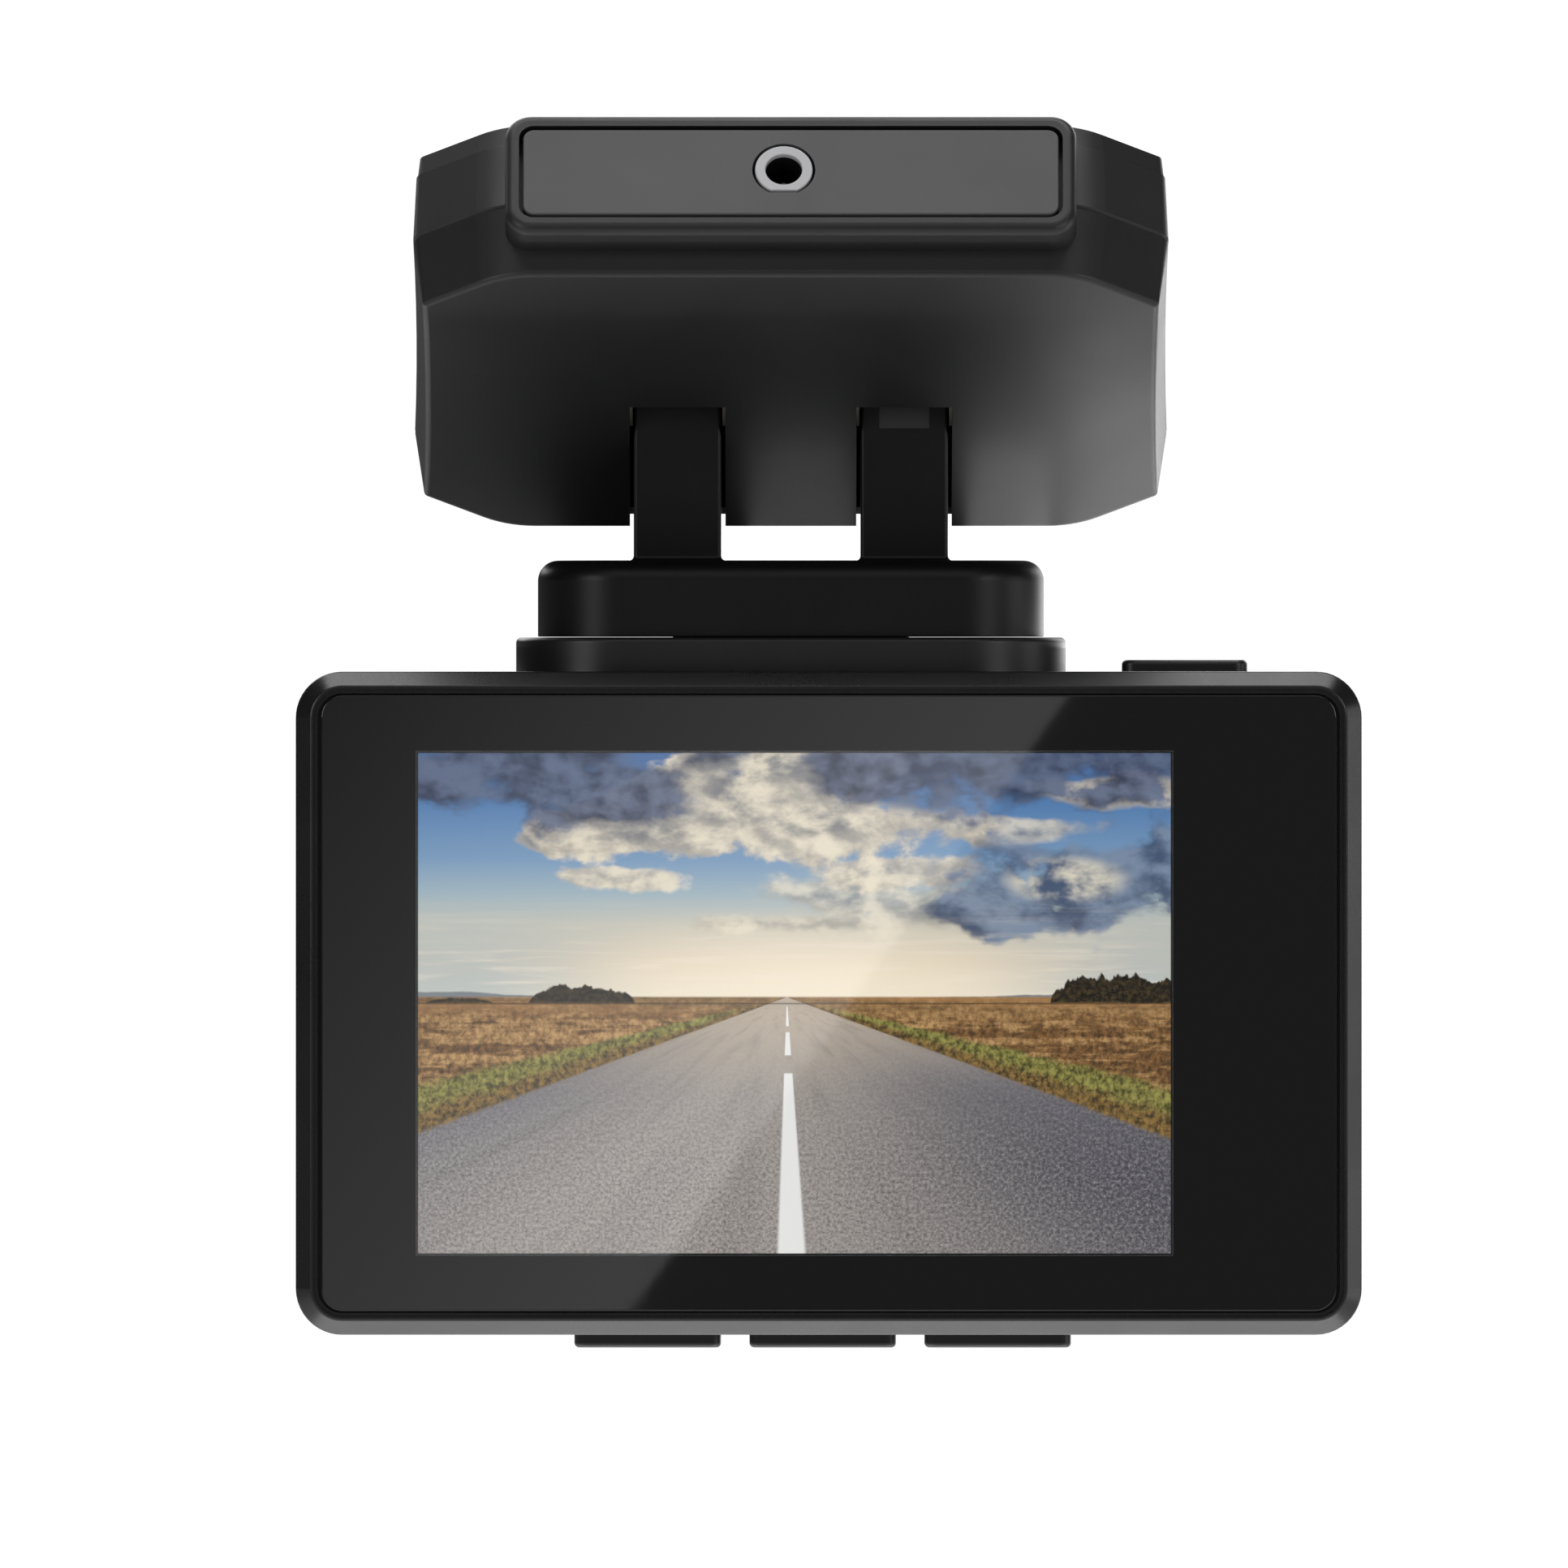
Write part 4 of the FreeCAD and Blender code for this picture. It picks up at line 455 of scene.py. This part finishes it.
def picture_ground(g, u, v):
    """Fields with the road running through them to the vanishing point, and its broken line."""
    depth = g.math("MAXIMUM", g.minus(HORIZON, v), 0.0005)
    across = g.math("DIVIDE", g.minus(u, VANISH), depth)
    off = g.math("ABSOLUTE", across)
    blades = g.noise(g.join(g.times(u, 130.0), g.times(v, 70.0)), 1.0, 5.0, 0.72)
    field = picture_fields(g, u, v, depth, off, blades)
    ragged_off = g.plus(off, g.times(g.minus(blades, 0.5), 0.12))
    on_road = g.step(ragged_off, ROAD_HALF + 0.04, ROAD_HALF - 0.04)
    ground = g.mix(on_road, field, picture_road(g, u, v, depth, across))
    # one long near dash, and two far ones by the bottom and the top of each
    dashes = g.step(v, 0.362, 0.358)
    for bottom, top in ((0.452, 0.496), (0.394, 0.444)):
        dash = g.times(g.step(v, bottom, bottom + 0.004), g.step(v, top, top - 0.004))
        dashes = g.math("MAXIMUM", dashes, dash)
    on_line = g.step(g.off_from(across, LINE_CENTRE), LINE_HALF + 0.006, LINE_HALF - 0.006)
    return g.mix(g.times(on_line, g.times(dashes, 0.93)), ground, linear("f3f2f0"))


def screen_picture(name):
    """An open road under an evening sky, drawn from noise and straight edges, lit from behind."""
    g = Graph(name)
    place = g.place()
    x, _, z = g.split(place)
    u = g.times(g.minus(x, PICTURE_LEFT), 1 / PICTURE_WIDTH)
    v = g.times(g.minus(z, PICTURE_BOTTOM), 1 / PICTURE_HEIGHT)
    height = g.span(v, HORIZON, 1.0, 0.0, 1.0)  # above the horizon
    sky = picture_clouds(g, u, v, height, picture_sky(g, u, height))

    # far hills, then the ground in front of them
    ridge = g.noise(g.join(g.times(u, 5.0), 0.7), 1.6, 5.0, 0.55)
    hill_top = g.plus(HORIZON - 0.006, g.times(g.off_from(u, 0.5), g.times(ridge, 0.075)))
    hills = g.mix(ridge, linear("8d8f8d"), linear("6f7a85"))
    picture = g.mix(g.step(g.minus(hill_top, v), 0.0, 0.004), sky, hills)
    picture = g.mix(g.step(g.minus(HORIZON, v), -0.003, 0.002), picture, picture_ground(g, u, v))

    # clumps of trees on the horizon: centre, half width, height
    crown = g.noise(g.join(g.times(u, 52.0), g.times(v, 10.0)), 1.0, 4.0, 0.6)
    leaf = g.noise(g.join(g.times(u, 150.0), g.times(v, 110.0)), 1.0, 4.0, 0.7)
    leaves = g.mix(g.step(leaf, 0.42, 0.66), linear("17140e"), linear("4a3c22"))
    foot = g.step(v, HORIZON - 0.016, HORIZON - 0.008)
    for centre, half, tall in (
        (0.218, 0.070, 0.046),
        (0.915, 0.075, 0.072),
        (0.985, 0.045, 0.060),
        (0.055, 0.045, 0.014),
    ):
        fall = g.math("POWER", g.times(g.minus(u, centre), 1 / half), 2.0)
        hump = g.math("SQRT", g.math("MAXIMUM", g.minus(1.0, fall), 0.0))
        top = g.plus(HORIZON - 0.010, g.times(hump, g.span(crown, 0.3, 0.7, tall * 0.55, tall)))
        picture = g.mix(g.times(g.step(g.minus(top, v), 0.0, 0.005), foot), picture, leaves)

    # the panel's own black border
    lit_area = g.times(g.step(g.off_from(u, 0.5), 0.5005, 0.4985), g.step(g.off_from(v, 0.5), 0.5008, 0.4978))
    smear = g.noise(place, 60.0, 3.0, 0.6)
    return g.surface(
        Base_Color=linear("0a0a0b"),
        Roughness=g.span(smear, 0.2, 0.8, 0.24, 0.34),
        Emission_Color=g.mix(lit_area, (0.002, 0.002, 0.002), picture),
        Emission_Strength=1.0,
    )


def cover_glass(name):
    """Clear over the picture, printed black round it, with a ground edge."""
    g = Graph(name)
    place = g.place()
    x, _, z = g.split(place)
    clear = 1.0
    for value, centre, size in ((x, CELL_MIDDLE.x, PICTURE_WIDTH), (z, CELL_MIDDLE.z, PICTURE_HEIGHT)):
        edge = size / 2 + 0.12 * MM
        clear = g.times(clear, g.step(g.off_from(value, centre), edge + 0.03 * MM, edge))
    smear = g.noise(place, 38.0, 4.0, 0.6, 1.3)
    speck = g.noise(place, 2600.0, 3.0, 0.7)
    roughness = g.plus(g.times(g.step(smear, 0.55, 0.8), 0.03), g.times(g.step(speck, 0.68, 0.8), 0.05))
    colour = g.mix(clear, linear("1e1e1f"), (0.96, 0.97, 0.97))
    ground = g.times(g.edge(0.25 * MM), 0.55)
    return g.surface(
        Base_Color=colour,
        Roughness=g.plus(roughness, g.plus(ground, 0.015)),
        Transmission_Weight=clear,
        IOR=1.5,
        Normal=g.bump(smear, 0.01, 0.05 * MM),
    )


def make_materials():
    """Every material slot's material, by the slot's name."""
    return {
        "foam_tape": foam("foam_tape"),
        "black_plastic": moulded("black_plastic", linear("0c0c0d"), 0.48, wear_and_highlight_amount=0.05),
        "head_plastic": moulded("head_plastic", linear("1b1b1c"), 0.44, wear_and_highlight_amount=0.25),
        "panel_plastic": moulded("panel_plastic", linear("4a4a4a"), 0.50, wear_and_highlight_amount=0.15),
        "light_plastic": moulded("light_plastic", linear("bcbcbe"), 0.40, wear_and_highlight_amount=0.2),
        "nickel": metal("nickel", linear("d8d4cb"), 0.22),
        "circuit_board": circuit_board("circuit_board"),
        "ceramic": ceramic("ceramic"),
        "shield_can": metal("shield_can", linear("b9bab8"), 0.34),
        "screw_steel": metal("screw_steel", linear("3a3a3c"), 0.36),
        "pin_steel": metal("pin_steel", linear("b5b6b8"), 0.26, (60.0, 900.0, 900.0)),
        "nylon": moulded("nylon", linear("d9d4c4"), 0.42, wear_and_highlight_amount=0.0),
        "bracket_plastic": moulded("bracket_plastic", linear("090909"), 0.40, wear_and_highlight_amount=0.2, specular=0.3),
        "shoe_plastic": moulded("shoe_plastic", linear("242425"), 0.45, wear_and_highlight_amount=0.1),
        "flex_film": polished("flex_film", linear("8a4a12"), 0.22),
        "magnet_nickel": metal("magnet_nickel", linear("cfccc6"), 0.18),
        "gold": metal("gold", linear("e2c06a"), 0.22),
        "case_plastic": moulded("case_plastic", linear("161617"), 0.40),
        "frame_plastic": moulded("frame_plastic", linear("161617"), 0.30, grain=0.05),
        "cover_glass": cover_glass("cover_glass"),
        "screen": screen_picture("screen"),
        "chip_plastic": moulded("chip_plastic", linear("1c1c1d"), 0.55, wear_and_highlight_amount=0.05),
        "heatsink_aluminium": metal("heatsink_aluminium", linear("b2b4b6"), 0.38),
        "capacitor_sleeve": polished("capacitor_sleeve", linear("1c2c55"), 0.28),
        "cast_metal": metal("cast_metal", linear("a5a6a6"), 0.48, (500.0, 500.0, 500.0)),
        "usb_steel": port_metal("usb_steel", "usb_socket"),
        "card_plastic": moulded("card_plastic", linear("242426"), 0.45, wear_and_highlight_amount=0.1),
        "ring_anodised": moulded("ring_anodised", linear("262628"), 0.28, grain=0.04, grain_size=0.12),
        "barrel_anodised": moulded("barrel_anodised", linear("151516"), 0.50, grain=0.08),
        "lens_glass": polished("lens_glass", linear("9fb0d8"), 0.01, transmission=0.9, wiped=0.01),
        "window_plastic": polished("window_plastic", linear("121011"), 0.05, coat=0.5),
        "laser_plastic": polished("laser_plastic", linear("3a0a0a"), 0.04, coat=0.6),
        "key_plastic": moulded("key_plastic", linear("161617"), 0.38),
    }


materials = make_materials()
for part in frame["record"]["subparts"]:
    obj = nodes[part["node"]]
    obj.data.materials.clear()
    obj.data.materials.append(materials[part["material_slot"]])


# ---------------------------------------------------------------- stage, light and camera
FLOOR_Z = cad_box[0].z - 0.16
FLOOR_HALF = 2.2
FLOOR_GLOW = 0.3
VIEW_WIDTH = 132.34 * MM
VIEW_X = -0.58 * MM
VIEW_Z = CASE_TOP - 9.5 * MM
CAMERA_DISTANCE = 4.5
SENSOR_WIDTH = 36.0
ROOM_GLOW = 0.05
PAPER_GLOW = 1.05
GLARE_DISTANCE = 1.0
GLARE_TURN = math.radians(-35.4)
GLARE_GLOW = 0.95
GLARE_WIDTH = 72 * MM
GLARE_HEIGHT = 116 * MM
GLARE_LINE = Vector((5.5 * MM, 0, -18.6 * MM))  # a point of the line on the glass, from the view's middle
GLARE_DROP = 9 * MM


def floor_material():
    """Pale matt paper with a glow of its own; clear from below, so that the underside can be looked at."""
    g = Graph("pale_floor")
    mottle = g.noise(g.place(), 3.0, 3.0, 0.5)
    base = g.mix(g.times(mottle, 0.25), (0.86, 0.86, 0.86), (0.82, 0.82, 0.83))
    paper = g.surface(Base_Color=base, Roughness=0.6, Emission_Color=base, Emission_Strength=FLOOR_GLOW)
    choice = g.add("MixShader")
    g.feed(choice.inputs[0], g.add("NewGeometry").outputs["Backfacing"])
    g.feed(choice.inputs[1], g.output.inputs["Surface"].links[0].from_socket)
    g.feed(choice.inputs[2], g.add("BsdfTransparent").outputs[0])
    g.feed(g.output.inputs["Surface"], choice.outputs[0])
    return paper


def make_floor():
    corners = [(x * FLOOR_HALF, y * FLOOR_HALF, FLOOR_Z) for x, y in ((-1, -1), (1, -1), (1, 1), (-1, 1))]
    mesh = bpy.data.meshes.new("floor")
    mesh.from_pydata(corners, [], [(0, 1, 2, 3)])
    mesh.materials.append(floor_material())
    floor = bpy.data.objects.new("floor", mesh)
    bpy.context.scene.collection.objects.link(floor)


def panel(name, place, aim, width, height, glow, turn=0.0):
    """A rectangular lamp, as bright as glow to look at, that reflections see and the camera doesn't."""
    light = bpy.data.lights.new(name, "AREA")
    light.shape = "RECTANGLE"
    light.size, light.size_y = width, height
    light.energy = glow * math.pi * width * height
    lamp = bpy.data.objects.new(name, light)
    lamp.location = place
    lamp.rotation_mode = "QUATERNION"
    facing = (Vector(place) - Vector(aim)).normalized().to_track_quat("Z", "Y")
    lamp.rotation_quaternion = facing @ Quaternion((0, 0, 1), turn)
    lamp.visible_camera = False
    bpy.context.scene.collection.objects.link(lamp)
    return lamp


def make_lights():
    head = middle("head_lower_housing")
    case = Vector((VIEW_X, GLASS_Y, CASE_MIDDLE.z))
    # name, place, aim, width, height, glow
    for lamp in (
        ("overhead", (0.0, -0.03, 0.40), (0.0, -0.02, 0.0), 0.50, 0.16, 5.0),
        ("rear_high", (0.0, -0.50, 0.38), case, 0.50, 0.34, 0.7),
        ("underneath", (0.0, 0.01, FLOOR_Z + 0.01), (0.0, 0.01, 0.0), 0.34, 0.07, 4.0),
        ("right", (0.30, -0.05, CASE_MIDDLE.z), case, 0.12, 0.20, 1.8),
        ("left_rear", (-0.34, -0.42, 0.08), head, 0.20, 0.20, 4.0),
        ("right_rear", (0.34, -0.42, 0.08), head, 0.20, 0.20, 3.6),
        ("front_high", (-0.3, 0.9, 0.65), case, 1.0, 1.0, 2.8),
        ("front_right", (0.5, 0.9, 0.1), case, 0.55, 0.85, 3.0),
    ):
        panel(*lamp)
    # small cards lying face up under the head, which its sloping underside mirrors to the rear:
    # name, x, y, height over the case's top, width, depth (all in mm), glow
    for name, x, y, lift, width, depth, glow in (
        ("right_low", 36, 8, 2, 26, 36, 2.6),
        ("right_step", 18.5, 6, 10.4, 7, 16, 1.5),
        ("left_low", -37, 8, 2, 26, 36, 0.15),
        ("middle_low", 1, 6, 10.4, 9, 16, 0.7),
    ):
        place = Vector((x * MM, y * MM, CASE_TOP + lift * MM))
        panel(name, place, place + Vector((0, 0, 1)), width * MM, depth * MM, glow)


def make_glare():
    """A small dim card before the screen, unseen itself: its slanted edge, mirrored, crosses the glass."""
    spread = 1 + GLARE_DISTANCE / CAMERA_DISTANCE
    leftward = Vector((-math.cos(GLARE_TURN), 0, math.sin(-GLARE_TURN)))
    upward = Vector((math.sin(-GLARE_TURN), 0, math.cos(GLARE_TURN)))
    middle_of_card = GLARE_LINE * spread + leftward * GLARE_WIDTH / 2 - upward * GLARE_DROP
    place = Vector((VIEW_X, GLASS_Y - GLARE_DISTANCE, VIEW_Z)) + middle_of_card
    lamp = panel("glare", place, place + Vector((0, 1, 0)), GLARE_WIDTH, GLARE_HEIGHT, GLARE_GLOW, GLARE_TURN)
    # it fades out towards its far side
    lamp.data.use_nodes = True
    tree = lamp.data.node_tree
    fade = tree.nodes.new("ShaderNodeMapRange")
    sides = tree.nodes.new("ShaderNodeSeparateXYZ")
    tree.links.new(tree.nodes.new("ShaderNodeNewGeometry").outputs["Parametric"], sides.inputs[0])
    tree.links.new(sides.outputs[0], fade.inputs["Value"])
    fade.inputs["To Min"].default_value = 0.0
    fade.inputs["To Max"].default_value = 1.0
    tree.links.new(fade.outputs[0], tree.nodes["Emission"].inputs["Strength"])


def make_world():
    """White paper behind everything, and a dim room for the reflections."""
    world = bpy.data.worlds.new("studio")
    world.use_nodes = True
    tree = world.node_tree
    tree.nodes.clear()
    output = tree.nodes.new("ShaderNodeOutputWorld")
    choice = tree.nodes.new("ShaderNodeMixShader")
    path = tree.nodes.new("ShaderNodeLightPath")
    tree.links.new(path.outputs["Is Camera Ray"], choice.inputs[0])
    for slot, strength in ((1, ROOM_GLOW), (2, PAPER_GLOW)):
        paper = tree.nodes.new("ShaderNodeBackground")
        paper.inputs["Color"].default_value = (1.0, 1.0, 1.0, 1.0)
        paper.inputs["Strength"].default_value = strength
        tree.links.new(paper.outputs[0], choice.inputs[slot])
    tree.links.new(choice.outputs[0], output.inputs[0])
    bpy.context.scene.world = world


def make_camera():
    data = bpy.data.cameras.new("camera")
    data.sensor_width = SENSOR_WIDTH
    data.lens = SENSOR_WIDTH * CAMERA_DISTANCE / VIEW_WIDTH
    data.clip_end = 50.0
    camera = bpy.data.objects.new("camera", data)
    camera.location = (VIEW_X, GLASS_Y - CAMERA_DISTANCE, VIEW_Z)
    camera.rotation_euler = (math.radians(90), 0, 0)
    bpy.context.scene.collection.objects.link(camera)
    bpy.context.scene.camera = camera


make_floor()
make_lights()
make_glare()
make_world()
make_camera()
bpy.context.scene.view_settings.view_transform = "Standard"
